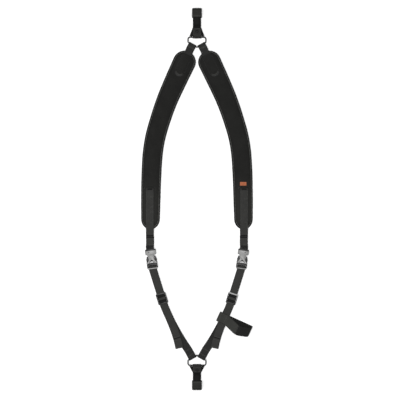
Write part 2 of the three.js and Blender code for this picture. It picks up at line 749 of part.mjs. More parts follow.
// ---------------------------------------------------------------- snap hooks
// Side view of the shank, bend and tip, from the neck to the lip.
function hookProfile(length, from) {
  const { floor, wall, throat, tipLength } = HOOK;
  const outer = throat + wall;
  const bend = length - outer;
  const middle = floor + outer;
  const lip = length - tipLength;
  const shape = new THREE.Shape();
  shape.moveTo(from, floor);
  shape.lineTo(bend, floor);
  shape.absarc(bend, middle, outer, -Math.PI / 2, Math.PI / 2, false);
  shape.lineTo(lip + 1.5, middle + outer);
  shape.quadraticCurveTo(lip - 0.3, middle + outer - 0.3, lip, middle + throat + 0.8);
  shape.lineTo(lip + 1, middle + throat);
  shape.lineTo(bend, middle + throat);
  shape.absarc(bend, middle, throat, Math.PI / 2, -Math.PI / 2, true);
  shape.lineTo(from, floor + wall);
  shape.closePath();
  return shape;
}

const gatePlan = ({ length, neckStart }) => {
  const { floor, wall, throat, tipLength } = HOOK;
  const pivot = [neckStart + 4.5, floor + wall + 2.4];
  const reach = length - tipLength + 2.2;
  const under = floor + wall + 2 * throat - GAP;
  return { pivot, end: [reach, under - 1.5] };
};

// The trapezoid that the webbing is riveted to, notched where the webbing goes round the ring's bar.
function hookBase(neckStart) {
  const { baseWidth, neckWidth, plateStart, cornerStart, webbing } = HOOK;
  const notch = webbing / 2 + 0.7;
  const corner = baseWidth / 2;
  const right = [
    [notch, plateStart], [notch, cornerStart], [corner, cornerStart], [neckWidth / 2, neckStart],
  ];
  return [...right.map(([x, y]) => [-x, y]).reverse(), ...right].reverse();
}

function hook(name, y, turn, kind) {
  const { floor, wall, baseWidth, neckWidth, tipWidth, tipLength, plate } = HOOK;
  const { length, neckStart, rivetAt, webEnd } = kind;
  const group = new THREE.Group();
  group.position.set(0, y, RING.z);
  group.rotation.z = turn;
  strap.add(group);

  // Body: trapezoid base under the webbing, neck, bend and tip.
  const half = neckWidth / 2;
  const base = prism(hookBase(neckStart), -plate, plate);
  const neck = box(-half, half, neckStart - 1, length - tipLength + 4, floor, floor + wall);
  const tip = sideProfile(hookProfile(length, length - tipLength), tipWidth);
  const tipPlan = roundedPolygon(
    [
      [-tipWidth / 2, length - tipLength - 1, 0.6], [tipWidth / 2, length - tipLength - 1, 0.6],
      [tipWidth / 2, length + 0.01, 4], [-tipWidth / 2, length + 0.01, 4],
    ],
    4,
  );
  const plan = prism(tipPlan.map((p) => [p.x, p.y]), -20, 30);
  const roundedTip = geometryOf(solidOf(tip).intersect(solidOf(plan)));
  const { pivot, end } = gatePlan(kind);
  const ear = (s) => sidedBox(s, 8.4, half, pivot[0] - 3, pivot[0] + 3, floor + 1, pivot[1] + 2.2);
  const hole = (r) => rod(vec(0, rivetAt, -8), vec(0, rivetAt, 8), r);
  const pinHole = rod(vec(-30, ...pivot), vec(30, ...pivot), 1.3 + 0.1);
  const body = cut(join(base, neck, roundedTip, ear(1), ear(-1)), hole(2 + GAP), pinHole);
  piece(group, `${name}_hook_body`, body, MATERIAL.plastic);

  // Gate: a tapered flap on a pin, closing up against the inside of the lip.
  const slope = Math.atan2(end[1] - pivot[1], end[0] - pivot[0]);
  const flap = new THREE.Shape();
  const swing = (d, n) => [
    pivot[0] + d * Math.cos(slope) - n * Math.sin(slope),
    pivot[1] + d * Math.sin(slope) + n * Math.cos(slope),
  ];
  const reach = Math.hypot(end[0] - pivot[0], end[1] - pivot[1]);
  flap.moveTo(...swing(0, -1.1));
  flap.lineTo(...swing(reach, -1.1));
  flap.lineTo(...swing(reach + 0.6, 0.3));
  flap.lineTo(...swing(reach, 1.1));
  flap.lineTo(...swing(0, 1.1));
  flap.closePath();
  const gateWidth = 16;
  const knuckle = rod(vec(-gateWidth / 2, ...pivot), vec(gateWidth / 2, ...pivot), 2.1);
  const gate = cut(join(sideProfile(flap, gateWidth), knuckle), pinHole);
  piece(group, `${name}_hook_gate`, gate, MATERIAL.plastic);
  const pin = rod(vec(-half, ...pivot), vec(half, ...pivot), 1.3, 12);
  piece(group, `${name}_hook_gate_pin`, pin, MATERIAL.steel);

  // Leaf spring under the gate, from the neck up to the gate's underside.
  const deck = floor + wall + GAP + 0.3;
  const leaf = [[4.2, 0], [5.6, 0], [8.5, 0.9], [12.5, 2.4], [14, 2.6]];
  const leafStations = leaf.map(([ly, lz]) => ({ p: vec(0, pivot[0] + ly, deck + lz), u: vec(1, 0) }));
  piece(group, `${name}_hook_gate_spring`, ribbon(leafStations, { width: 7, thick: 0.5 }), MATERIAL.steel);

  // Webbing round the ring's bar and back, both ends under the rivet.
  const radius = barFoldRadius(RING.wire);
  const flat = plate + GAP + WEB.thick / 2;
  const leg = (s) => [
    { p: vec(0, webEnd, s * flat) },
    { p: vec(0, 6.5, s * flat) },
    { p: vec(0, 3.6, s * (flat + 0.12)) },
  ].map((station) => ({ ...station, u: vec(1, 0) }));
  const webStations = [
    ...leg(-1),
    ...fold(vec(0, 0, 0), vec(0, -1), radius).map((station) => ({ ...station, u: vec(1, 0) })),
    ...leg(1).reverse(),
  ];
  const web = cut(ribbon(webStations, { width: HOOK.webbing }), hole(2 + GAP));
  piece(group, `${name}_hook_web`, web, MATERIAL.webbing);

  // Rivet through the webbing and the base.
  const grip = flat + WEB.thick / 2 + GAP / 2;
  const head = [[0, grip + 0.9], [2.4, grip + 0.8], [3.7, grip + 0.4], [4, grip]];
  const profile = [...head, [2, grip], [2, -grip], ...head.map(([r, z]) => [r, -z]).reverse()];
  const rivet = new THREE.LatheGeometry(profile.map(([r, z]) => new THREE.Vector2(r, -z)), 16);
  rivet.rotateX(Math.PI / 2).translate(0, rivetAt, 0);
  piece(group, `${name}_hook_rivet`, closedRevolve(rivet), MATERIAL.steel);
}

// A LatheGeometry whose seam is merged and whose faces point out.
function closedRevolve(geometry) {
  const bare = geometry.clone();
  bare.deleteAttribute("normal");
  bare.deleteAttribute("uv");
  const merged = mergeVertices(bare, 1e-3);
  const position = merged.attributes.position;
  const pointAt = (_, i) => new THREE.Vector3().fromBufferAttribute(position, i);
  const points = Array.from({ length: position.count }, pointAt);
  const index = Array.from(merged.index.array);
  const triangles = [];
  for (let i = 0; i < index.length; i += 3) {
    const [a, b, c] = index.slice(i, i + 3);
    if (a !== b && b !== c && a !== c) triangles.push([a, b, c]);
  }
  return closedMesh(points, triangles);
}

// ---------------------------------------------------------------- assembly
for (const side of [LEFT, RIGHT]) {
  shoulderPad(side);
  upperWeb(side);
  socketWeb(side);
  buckle(side);
  adjusterWeb(side);
  tailEnd(side);
  triGlide(side);
}
ring("upper_ring", RING.topBar, -1);
ring("lower_ring", RING.bottomBar, 1);
hook("upper", RING.topBar, 0, UPPER_HOOK);
hook("lower", RING.bottomBar, Math.PI, LOWER_HOOK);
keeperLoop();
label();

export default strap;
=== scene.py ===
import json
import math

import bmesh
import bpy
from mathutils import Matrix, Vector, noise
from mathutils.bvhtree import BVHTree

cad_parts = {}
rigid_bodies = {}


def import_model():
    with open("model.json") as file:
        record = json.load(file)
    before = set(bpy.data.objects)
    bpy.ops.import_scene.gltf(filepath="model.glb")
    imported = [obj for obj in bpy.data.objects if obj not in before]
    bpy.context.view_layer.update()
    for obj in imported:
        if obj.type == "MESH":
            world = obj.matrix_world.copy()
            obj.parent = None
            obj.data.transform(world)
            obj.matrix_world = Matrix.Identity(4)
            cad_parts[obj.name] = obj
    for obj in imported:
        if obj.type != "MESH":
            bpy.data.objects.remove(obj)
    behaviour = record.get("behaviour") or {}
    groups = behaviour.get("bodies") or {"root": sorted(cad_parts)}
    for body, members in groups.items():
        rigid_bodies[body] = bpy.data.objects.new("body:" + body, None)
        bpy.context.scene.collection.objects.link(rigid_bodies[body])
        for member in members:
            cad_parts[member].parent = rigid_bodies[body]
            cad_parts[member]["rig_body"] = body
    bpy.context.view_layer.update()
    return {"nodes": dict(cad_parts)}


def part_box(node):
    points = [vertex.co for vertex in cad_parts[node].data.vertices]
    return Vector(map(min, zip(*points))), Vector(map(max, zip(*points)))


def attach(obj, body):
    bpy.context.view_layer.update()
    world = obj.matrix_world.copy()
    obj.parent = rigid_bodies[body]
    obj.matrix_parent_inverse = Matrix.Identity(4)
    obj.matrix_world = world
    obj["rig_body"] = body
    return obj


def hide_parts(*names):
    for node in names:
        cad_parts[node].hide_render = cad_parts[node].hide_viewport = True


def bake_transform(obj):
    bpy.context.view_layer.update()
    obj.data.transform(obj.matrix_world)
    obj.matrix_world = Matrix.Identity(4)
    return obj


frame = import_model()
MM = 0.001
UP = Vector((0, 0, 1))
SIDES = {"left": -1, "right": 1}

# ------------------------------------------------------------------ dimensions of the CAD, in mm
PAD_ROUTE = [
    (31.5, 342.5, 28.5), (52.5, 297.5, 27.6), (74.5, 247.5, 26.4), (92, 197.5, 25.6), (104, 155, 25.3),
    (110.5, 115, 25.1), (114, 60, 24.8), (115.5, 0, 24.2), (116.3, -50, 23.2),
]
BOTTOM_CAP = 26
PAD_EDGE = 5.6
RING = {"wire": 1.6, "half": 22.4, "height": 25, "slope": math.radians(29), "z": 4}
RING_BAR = {"upper": (404.5, -1), "lower": (-415.8, 1)}
BUCKLE = {
    "x": 113.25, "y": -152.5, "tilt": math.radians(7.8), "z": 5, "plug_z": 4.4,
    "socket_bar": 25, "socket_radius": 1.7, "socket_face": 23.4,
    "plug_bar": -16.4, "plug_radius": 1.5, "plug_face": -19.6, "plug_end": -24.5,
}
GLIDE = (87.4, -248.8)
KEEPER = {
    "x": 64.6, "y": -298, "tilt": math.radians(24.5), "width": 25, "lean": 0.9, "painted_shade_span": (90, 133),
    "mouth": 9, "crest": (46, 19.4),
}
LOW_LAYER, HIGH_LAYER = 2.9, 4.4
TAIL = [(61, -316), (56.4, -327.5), (48.4, -352.5), (43.6, -373)]
WEB, THICK = 20, 1.2
HOOK = {"upper": {"sign": 1, "length": 72.5, "web": 23}, "lower": {"sign": -1, "length": 61.5, "web": 17.5}}

# ------------------------------------------------------------------ dimensions of what is sewn and finished
STRAP_X = 117.6  # middle of the webbing on the pad's lower end
FACE_INSET = 1.4  # from the pad's bound edge to the cloth's
HELD_RIM = 5.6  # width of the rim that the binding holds down
FOLD_GAP = 0.35  # between a bar and the webbing folded round it
SLOT_Y = 25.2  # end of the slot that the lower webbing comes out of
HEM = 24.0  # length of the tail's doubled end
# The socket's raised face, inside its rim, carries a painted reflection.
PANEL_RISE = 0.2  # of a polished face inside its rim
FLAT_AREA = 9e-6  # in square metres: larger facets are shaded flat
LEAF_FOOT, LEAF_TIP = 0.0012, 0.001  # in metres: the leaf spring's ends that don't bend


def rotated(x, y, a):
    return x * math.cos(a) - y * math.sin(a), x * math.sin(a) + y * math.cos(a)


def buckle_point(side, x, y, z):
    dx, dy = rotated(x, y, -side * BUCKLE["tilt"])
    return Vector((side * BUCKLE["x"] + dx, BUCKLE["y"] + dy, z))


def buckle_axis(side):
    return (buckle_point(side, 0, 1, 0) - buckle_point(side, 0, 0, 0)).normalized()


plug_end = buckle_point(1, 0, BUCKLE["plug_end"], 0)
GLIDE_TILT = math.atan2(plug_end.x - GLIDE[0], plug_end.y - GLIDE[1])


def glide_point(side, d, z, across=0):
    s, c = math.sin(GLIDE_TILT), math.cos(GLIDE_TILT)
    return Vector((side * (GLIDE[0] + d * s + across * c), GLIDE[1] + d * c - across * s, z))


# ------------------------------------------------------------------ curves
def catmull(points, closed=False, per=14):
    """Dense points on the centripetal Catmull-Rom curve through the given ones."""
    n = len(points)
    if closed:
        ctrl = [points[-1], *points, points[0], points[1]]
    else:
        ctrl = [2 * points[0] - points[1], *points, 2 * points[-1] - points[-2]]
    out = []
    for i in range(n if closed else n - 1):
        p0, p1, p2, p3 = ctrl[i:i + 4]
        t1 = max((p1 - p0).length, 1e-6) ** 0.5
        t2 = t1 + max((p2 - p1).length, 1e-6) ** 0.5
        t3 = t2 + max((p3 - p2).length, 1e-6) ** 0.5
        for k in range(per):
            t = t1 + (t2 - t1) * k / per
            a1 = p0 * ((t1 - t) / t1) + p1 * (t / t1)
            a2 = p1 * ((t2 - t) / (t2 - t1)) + p2 * ((t - t1) / (t2 - t1))
            a3 = p2 * ((t3 - t) / (t3 - t2)) + p3 * ((t - t2) / (t3 - t2))
            b1 = a1 * ((t2 - t) / t2) + a2 * (t / t2)
            b2 = a2 * ((t3 - t) / (t3 - t1)) + a3 * ((t - t1) / (t3 - t1))
            out.append(b1 * ((t2 - t) / (t2 - t1)) + b2 * ((t - t1) / (t2 - t1)))
    if not closed:
        out.append(points[-1].copy())
    return out


def lengths_along(points):
    """The arc length at each point of a polyline."""
    out = [0]
    for a, b in zip(points, points[1:]):
        out.append(out[-1] + (b - a).length)
    return out


def spaced(points, step, closed=False):
    """Points at equal steps of arc length along a polyline."""
    pts = points + [points[0]] if closed else points
    lengths = lengths_along(pts)
    count = max(2, round(lengths[-1] / step))
    out = []
    j = 0
    for k in range(count if closed else count + 1):
        target = lengths[-1] * k / count
        while j < len(pts) - 2 and lengths[j + 1] < target:
            j += 1
        span = lengths[j + 1] - lengths[j]
        out.append(pts[j].lerp(pts[j + 1], (target - lengths[j]) / span if span > 1e-9 else 0))
    return out


def rounded(corners, steps):
    """Closed corner-rounded outline in a plane; each corner is (x, y, radius)."""
    out = []
    n = len(corners)
    for i, (x, y, r) in enumerate(corners):
        c = Vector((x, y))
        a = (Vector(corners[i - 1][:2]) - c).normalized()
        b = (Vector(corners[(i + 1) % n][:2]) - c).normalized()
        half = math.acos(max(-1, min(1, a.dot(b)))) / 2
        reach = r / math.tan(half)
        s, e = c + a * reach, c + b * reach
        for k in range(steps + 1):
            t = k / steps
            out.append(s * (1 - t) ** 2 + c * (2 * t * (1 - t)) + e * t * t)
    return out


def smooth(t):
    t = max(0.0, min(1.0, t))
    return t * t * (3 - 2 * t)


def square_to(along):
    """Level, and to the right of a direction seen from above."""
    return Vector((along.y, -along.x, 0))


def at_height(p, z=0):
    return Vector((p.x, p.y, z))


def turns(count):
    return [2 * math.pi * m / count for m in range(count)]


def hoop(p, u, v, across, out, count):
    """Points round an ellipse about p, with half axes across along u and out along v."""
    return [p + u * (across * math.cos(a)) + v * (out * math.sin(a)) for a in turns(count)]


# ------------------------------------------------------------------ mesh making
def placed(name, data):
    obj = bpy.data.objects.new(name, data)
    bpy.context.scene.collection.objects.link(obj)
    return obj


def new_object(name, verts, faces, material, body=None, slot=None, uvs=None):
    """Mesh object from points in mm. uvs is one (u, v) in mm per vertex."""
    mesh = bpy.data.meshes.new(name)
    mesh.from_pydata([tuple(c * MM for c in v) for v in verts], [], faces)
    if uvs:
        layer = mesh.uv_layers.new(name="UVMap")
        for loop in mesh.loops:
            u, v = uvs[loop.vertex_index]
            layer.data[loop.index].uv = (u * MM, v * MM)
    mesh.materials.append(material)
    obj = placed(name, mesh)
    bm = bmesh.new()
    bm.from_mesh(mesh)
    bmesh.ops.recalc_face_normals(bm, faces=bm.faces)
    bm.to_mesh(mesh)
    bm.free()
    for p in mesh.polygons:
        p.use_smooth = True
    if body:
        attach(obj, body)
    return obj


def loft(name, rings, material, closed=False, uv_of=None, **kw):
    """Skin through rings of equal point counts; each ring is a closed section."""
    n = len(rings[0])
    verts = [p for ring in rings for p in ring]
    faces = []
    count = len(rings)
    for i in range(count if closed else count - 1):
        a, b = i * n, ((i + 1) % count) * n
        for j in range(n):
            k = (j + 1) % n
            faces.append((a + j, b + j, b + k, a + k))
    if not closed:
        faces.append(tuple(range(n)))
        faces.append(tuple(range((count - 1) * n, count * n))[::-1])
    uvs = [uv_of(i, j) for i in range(count) for j in range(n)] if uv_of else None
    return new_object(name, verts, faces, material, uvs=uvs, **kw)


def strip_section(width, thick):
    """Section of a webbing strip: flat faces and rounded selvedges, as (across, out of the face)."""
    r = min(thick * 0.75, width * 0.1)
    half = width / 2
    inner = [half * 0.82 * (k / 4 - 1) for k in range(9)]
    xs = [-half, -half + 0.25 * r, -half + r, *inner, half - r, half - 0.25 * r, half]
    xs = sorted(set(round(x, 4) for x in xs))

    def h(x):
        d = half - abs(x)
        if d >= r:
            return thick / 2
        return thick / 2 * max(0.12, math.sqrt(max(0, 1 - ((r - d) / r) ** 2)))

    return [(x, h(x)) for x in xs] + [(x, -h(x)) for x in reversed(xs)]


def frames_along(points, fixed_u=None, closed=False):
    """For each point of a path: (point, across, out of the face)."""
    out = []
    n = len(points)
    before = None
    for i, p in enumerate(points):
        a = points[(i - 1) % n] if closed else points[max(i - 1, 0)]
        b = points[(i + 1) % n] if closed else points[min(i + 1, n - 1)]
        along = (b - a).normalized()
        if fixed_u is not None:
            u = fixed_u(i) if callable(fixed_u) else fixed_u
        else:
            u = square_to(along)
            u = u.normalized() if u.length > 0.05 else before
        if before is not None and before.dot(u) < 0:
            u = -u
        before = u
        v = u.cross(along).normalized()
        out.append((p, u, v))
    return out


def strip(name, points, material, width=WEB, thick=THICK, u=None, closed=False, thick_at=None, settle=None,
          second=None, body=None):
    """Webbing along points. thick_at(length, total) scales its thickness, and settle(p) moves a vertex onto
    what it lies on. second is (material, chosen), and chosen(length, turn round the section) says where."""
    fr = frames_along(points, u, closed)
    rings = []
    lengths = lengths_along(points)
    base = strip_section(width, thick)
    for i, (p, uu, vv) in enumerate(fr):
        k = thick_at(lengths[i], lengths[-1]) if thick_at else 1
        ring = [p + uu * a + vv * b * k for a, b in base]
        rings.append([settle(q) for q in ring] if settle else ring)
    obj = loft(
        name, rings, material, closed=closed, body=body, slot="webbing",
        uv_of=lambda i, j: (base[j][0], lengths[i]),
    )
    if second:
        other, chosen = second
        obj.data.materials.append(other)
        n = len(base)
        for poly in obj.data.polygons:
            i, j = divmod(min(poly.vertices), n)
            js = [v % n for v in poly.vertices]
            if chosen(lengths[min(i, len(lengths) - 1)], sum(js) / len(js) / n):
                poly.material_index = 1
    return obj


def stitch_mesh(name, runs, material, length=2.5, pitch=3.4, radius=0.3, lift=0.05, body="harness",
                slot="webbing"):
    """Threads along runs, each a list of (point, up) at any spacing; a dash every pitch, ends dipping in."""
    # Along the dash, up from the cloth in radii, and thickness.
    profile = [(-0.5, -0.55, 0.5), (-0.3, 0.25, 0.95), (0, 0.55, 1), (0.3, 0.25, 0.95), (0.5, -0.55, 0.5)]
    verts, faces = [], []
    for run in runs:
        pts = [p for p, _ in run]
        lengths = lengths_along(pts)
        total = lengths[-1]
        count = max(1, int(total / pitch + 0.3))
        gap = total / count

        def at(s):
            s = max(0, min(total, s))
            j = 0
            while j < len(pts) - 2 and lengths[j + 1] < s:
                j += 1
            span = max(lengths[j + 1] - lengths[j], 1e-9)
            t = (s - lengths[j]) / span
            return pts[j].lerp(pts[j + 1], t), run[j][1].lerp(run[j + 1][1], t).normalized()

        for k in range(count):
            mid = gap * (k + 0.5)
            start = len(verts)
            for f, z, r in profile:
                p, up = at(mid + f * length)
                q, _ = at(mid + f * length + 0.2)
                o, _ = at(mid + f * length - 0.2)
                along = (q - o).normalized()
                side = along.cross(up).normalized()
                c = p + up * (z * radius + lift)
                for m in range(6):
                    a = math.pi * m / 3
                    across, out = math.cos(a) * radius * r, math.sin(a) * radius * r * 0.9
                    verts.append(c + side * across + up * out)
            for i in range(len(profile) - 1):
                for m in range(6):
                    n = (m + 1) % 6
                    a = start + i * 6
                    faces.append((a + m, a + n, a + 6 + n, a + 6 + m))
            faces.append(tuple(start + m for m in range(6)))
            faces.append(tuple(start + (len(profile) - 1) * 6 + m for m in reversed(range(6))))
    return new_object(name, verts, faces, material, body=body, slot=slot)


def bvh_of(*objs):
    verts, polys = [], []
    for o in objs:
        base = len(verts)
        verts += [v.co / MM for v in o.data.vertices]
        polys += [[base + i for i in p.vertices] for p in o.data.polygons]
    return BVHTree.FromPolygons(verts, polys)


def top_at(tree, x, y, default=None):
    """Height of the highest surface over (x, y), or the default where there is none."""
    hit = tree.ray_cast(Vector((x, y, 60)), Vector((0, 0, -1)))
    return hit[0].z if hit[0] is not None else default


def laid(tree, x, y, default):
    """The point on the surface over (x, y)."""
    return Vector((x, y, top_at(tree, x, y, default)))


# ------------------------------------------------------------------ materials
def principled(name, color, roughness, metallic=0.0, sheen=0.0, coat=0.0, specular=0.5):
    mat = bpy.data.materials.new(name)
    mat.use_nodes = True
    nt = mat.node_tree
    bsdf = nt.nodes["Principled BSDF"]
    bsdf.inputs["Base Color"].default_value = (*color, 1)
    bsdf.inputs["Roughness"].default_value = roughness
    bsdf.inputs["Metallic"].default_value = metallic
    bsdf.inputs["Specular IOR Level"].default_value = specular
    if sheen:
        bsdf.inputs["Sheen Weight"].default_value = sheen
        bsdf.inputs["Sheen Roughness"].default_value = 0.5
        bsdf.inputs["Sheen Tint"].default_value = (0.8, 0.8, 0.78, 1)
    if coat:
        bsdf.inputs["Coat Weight"].default_value = coat
        bsdf.inputs["Coat Roughness"].default_value = 0.15
    return mat, nt, bsdf


def noise_of(nt, coords, **inputs):
    """The value of a noise texture with its named inputs set."""
    n = nt.nodes.new("ShaderNodeTexNoise")
    for name, value in inputs.items():
        n.inputs[name].default_value = value
    nt.links.new(coords, n.inputs["Vector"])
    return n.outputs["Fac"]


def own_coords(nt):
    return nt.nodes.new("ShaderNodeTexCoord").outputs["Object"]


def split(nt, vector):
    """The X and Y of a vector."""
    sep = nt.nodes.new("ShaderNodeSeparateXYZ")
    nt.links.new(vector, sep.inputs[0])
    return sep.outputs["X"], sep.outputs["Y"]


def eased(nt, value, start, end, top=1.0):
    """0 at start, top at end, eased between them."""
    n = nt.nodes.new("ShaderNodeMapRange")
    n.interpolation_type = "SMOOTHSTEP"
    n.inputs["From Min"].default_value = start
    n.inputs["From Max"].default_value = end
    n.inputs["To Max"].default_value = top
    nt.links.new(value, n.inputs["Value"])
    return n.outputs["Result"]


def math_node(nt, op, a, b=None, c=None):
    n = nt.nodes.new("ShaderNodeMath")
    n.operation = op
    for i, v in enumerate((a, b, c)):
        if v is None:
            continue
        if isinstance(v, (int, float)):
            n.inputs[i].default_value = v
        else:
            nt.links.new(v, n.inputs[i])
    return n.outputs[0]


def vary(nt, color, amount, scale, coords):
    """Cloudy variation of a colour."""
    ramp = nt.nodes.new("ShaderNodeValToRGB")
    for element, position, sign in zip(ramp.color_ramp.elements, (0.3, 0.7), (-1, 1)):
        element.position = position
        element.color = (*[c * (1 + sign * amount) for c in color], 1)
    cloud = noise_of(nt, coords, Scale=scale, Detail=4.0, Roughness=0.6)
    nt.links.new(cloud, ramp.inputs["Fac"])
    return ramp.outputs["Color"]


def blend_to(nt, color_socket, factor_socket, other):
    """The colour mixed towards another by a factor."""
    mix = nt.nodes.new("ShaderNodeMix")
    mix.data_type = "RGBA"
    nt.links.new(factor_socket, mix.inputs["Factor"])
    nt.links.new(color_socket, mix.inputs[6])
    mix.inputs[7].default_value = (*other, 1)
    return mix.outputs[2]


def bump(nt, bsdf, height, distance, strength, after=None):
    b = nt.nodes.new("ShaderNodeBump")
    b.inputs["Strength"].default_value = strength
    b.inputs["Distance"].default_value = distance
    nt.links.new(height, b.inputs["Height"])
    if after:
        nt.links.new(after, b.inputs["Normal"])
    nt.links.new(b.outputs["Normal"], bsdf.inputs["Normal"])
    return b.outputs["Normal"]


def wave(nt, value, pitch):
    """A rounded ridge every pitch metres of value, from 0 to 1."""
    s = math_node(nt, "MULTIPLY_ADD", value, 2 * math.pi / pitch, 0.0)
    return math_node(nt, "MULTIPLY_ADD", math_node(nt, "SINE", s), 0.5, 0.5)


def webbing_material(name, color, pitch=0.0011, rib=0.0016, sheen=0.25, edge=0.01):
    """Woven strap: a herringbone of fine picks across, warp ribs along, and painted shade that darkens its
    rounded edges towards edge (half the strap's width, in metres)."""
    mat, nt, bsdf = principled(name, color, 0.72, sheen=sheen, specular=0.2)
    uv = nt.nodes.new("ShaderNodeUVMap")
    uv.uv_map = "UVMap"
    u, v = split(nt, uv.outputs["UV"])
    zig = math_node(nt, "ABSOLUTE", math_node(nt, "SUBTRACT", math_node(nt, "PINGPONG", u, 0.0025), 0.00125))
    picks = wave(nt, math_node(nt, "ADD", v, math_node(nt, "MULTIPLY", zig, 0.8)), pitch)
    ribs = wave(nt, u, rib)
    height = math_node(nt, "MULTIPLY", picks, math_node(nt, "MULTIPLY_ADD", ribs, 0.6, 0.4))
    tint = vary(nt, color, 0.16, 90.0, own_coords(nt))
    # Painted shade in the weave's low spots.
    low = math_node(nt, "MULTIPLY_ADD", height, -0.75, 0.75)
    woven = blend_to(nt, tint, low, [c * 0.35 for c in color])
    # Painted shade along the rounded edges.
    painted_edge_shade = eased(nt, math_node(nt, "ABSOLUTE", u), edge - 0.0019, edge - 0.0003, 0.8)
    nt.links.new(blend_to(nt, woven, painted_edge_shade, [c * 0.2 for c in color]), bsdf.inputs["Base Color"])
    nt.links.new(math_node(nt, "MULTIPLY_ADD", height, -0.14, 0.8), bsdf.inputs["Roughness"])
    bump(nt, bsdf, height, 0.00022, 0.9)
    return mat


def cloth_material(name, color, pitch, roughness, sheen, angle=0.0, fuzz=0.5, painted_light_end=None):
    """Plain-woven cloth, from object coordinates in the sheet's own plane. The last argument is (colour,
    start y, full y): painted light that makes the cloth lighter towards one end."""
    mat, nt, bsdf = principled(name, color, roughness, sheen=sheen, specular=0.15)
    coords = own_coords(nt)
    turn = nt.nodes.new("ShaderNodeMapping")
    turn.inputs["Rotation"].default_value = (0, 0, angle)
    nt.links.new(coords, turn.inputs["Vector"])
    x, y = split(nt, turn.outputs["Vector"])
    over = wave(nt, math_node(nt, "ADD", x, y), pitch * 2)
    warp = math_node(nt, "MULTIPLY", wave(nt, x, pitch), over)
    weft = math_node(nt, "MULTIPLY", wave(nt, y, pitch), math_node(nt, "SUBTRACT", 1.0, over))
    height = math_node(nt, "ADD", warp, weft)
    tint = vary(nt, color, 0.2, 38.0, coords)
    # Painted light: the colour grows lighter towards one end.
    if painted_light_end:
        tint = blend_to(nt, tint, eased(nt, split(nt, coords)[1], painted_light_end[1], painted_light_end[2]), painted_light_end[0])
    # Painted shade in the weave's low spots.
    low = math_node(nt, "MULTIPLY_ADD", height, -0.7, 0.6)
    nt.links.new(blend_to(nt, tint, low, [c * 0.4 for c in color]), bsdf.inputs["Base Color"])
    fine = noise_of(nt, coords, Scale=900.0, Detail=2.0)
    bump(nt, bsdf, height, 0.00025, 0.8, after=bump(nt, bsdf, fine, 0.00012, fuzz))
    nt.links.new(math_node(nt, "MULTIPLY_ADD", fine, 0.2, roughness - 0.1), bsdf.inputs["Roughness"])
    return mat


def mesh_material(name, color):
    """Knitted spacer mesh: rounded holes in a staggered grid."""
    mat, nt, bsdf = principled(name, color, 0.85, sheen=0.05, specular=0.15)
    coords = own_coords(nt)
    vor = nt.nodes.new("ShaderNodeTexVoronoi")
    vor.inputs["Scale"].default_value = 420.0
    vor.inputs["Randomness"].default_value = 0.12
    nt.links.new(coords, vor.inputs["Vector"])
    hole = math_node(nt, "SUBTRACT", 1.0, math_node(nt, "MULTIPLY", vor.outputs["Distance"], 1.6))
    tint = vary(nt, color, 0.15, 40.0, coords)
    # Painted shade in the mesh's holes.
    deep = math_node(nt, "GREATER_THAN", hole, 0.55)
    nt.links.new(blend_to(nt, tint, deep, [c * 0.25 for c in color]), bsdf.inputs["Base Color"])
    bump(nt, bsdf, math_node(nt, "MULTIPLY", hole, -1.0), 0.0005, 0.9)
    return mat


def thread_material(name, color):
    """Twisted thread: fine diagonal plies and a slightly uneven colour."""
    mat, nt, bsdf = principled(name, color, 0.6, sheen=0.15, specular=0.35)
    coords = own_coords(nt)
    nt.links.new(vary(nt, color, 0.25, 260.0, coords), bsdf.inputs["Base Color"])
    plies = wave(nt, math_node(nt, "ADD", *split(nt, coords)), 0.0005)
    bump(nt, bsdf, plies, 0.00008, 0.7)
    nt.links.new(math_node(nt, "MULTIPLY_ADD", plies, 0.1, 0.55), bsdf.inputs["Roughness"])
    return mat


def plastic_material(name, color, roughness, coat=0.0, grain=0.5, metallic=0.0, specular=0.5):
    """Moulded or coated surface: a fine grain, with scuffs that change its roughness."""
    mat, nt, bsdf = principled(name, color, roughness, metallic=metallic, coat=coat, specular=specular)
    coords = own_coords(nt)
    nt.links.new(vary(nt, color, 0.12, 130.0, coords), bsdf.inputs["Base Color"])
    scuff = noise_of(nt, coords, Scale=160.0, Detail=5.0, Roughness=0.7)
    nt.links.new(math_node(nt, "MULTIPLY_ADD", scuff, 0.22, roughness - 0.11), bsdf.inputs["Roughness"])
    bump(nt, bsdf, noise_of(nt, coords, Scale=2600.0, Detail=2.0), 0.00006, grain)
    return mat


# The pad cloth grows lighter towards its lower end: painted light.
M_FACE = cloth_material("face_cloth", (0.0102, 0.0102, 0.0094), 0.0011, 0.88, 0.045, fuzz=0.6,
                        painted_light_end=((0.019, 0.019, 0.0172), 0.075, -0.02))
M_COVER = cloth_material("cover_cloth", (0.0105, 0.0105, 0.0096), 0.0011, 0.86, 0.05, angle=0.5)
# A lighter copy of the cover cloth for its rolled lip: a painted highlight.
M_LIP_HIGHLIGHT = cloth_material("lip_cloth_painted_highlight", (0.034, 0.034, 0.031), 0.0009, 0.75, 0.08)
M_BIND = webbing_material("binding_tape", (0.0055, 0.0055, 0.0055), 0.0009, 0.003, 0.03, edge=0.03)
M_WEB = webbing_material("strap_webbing", (0.0305, 0.0305, 0.0285), sheen=0.06)
M_WEB_TOP = webbing_material("strap_webbing_upper", (0.0175, 0.0175, 0.0165), sheen=0.04)
# A darker copy of the strap webbing for the back run under the front one: painted shade.
M_WEB_SHADED = webbing_material("strap_webbing_painted_shade", (0.0165, 0.0165, 0.0155), sheen=0.03)
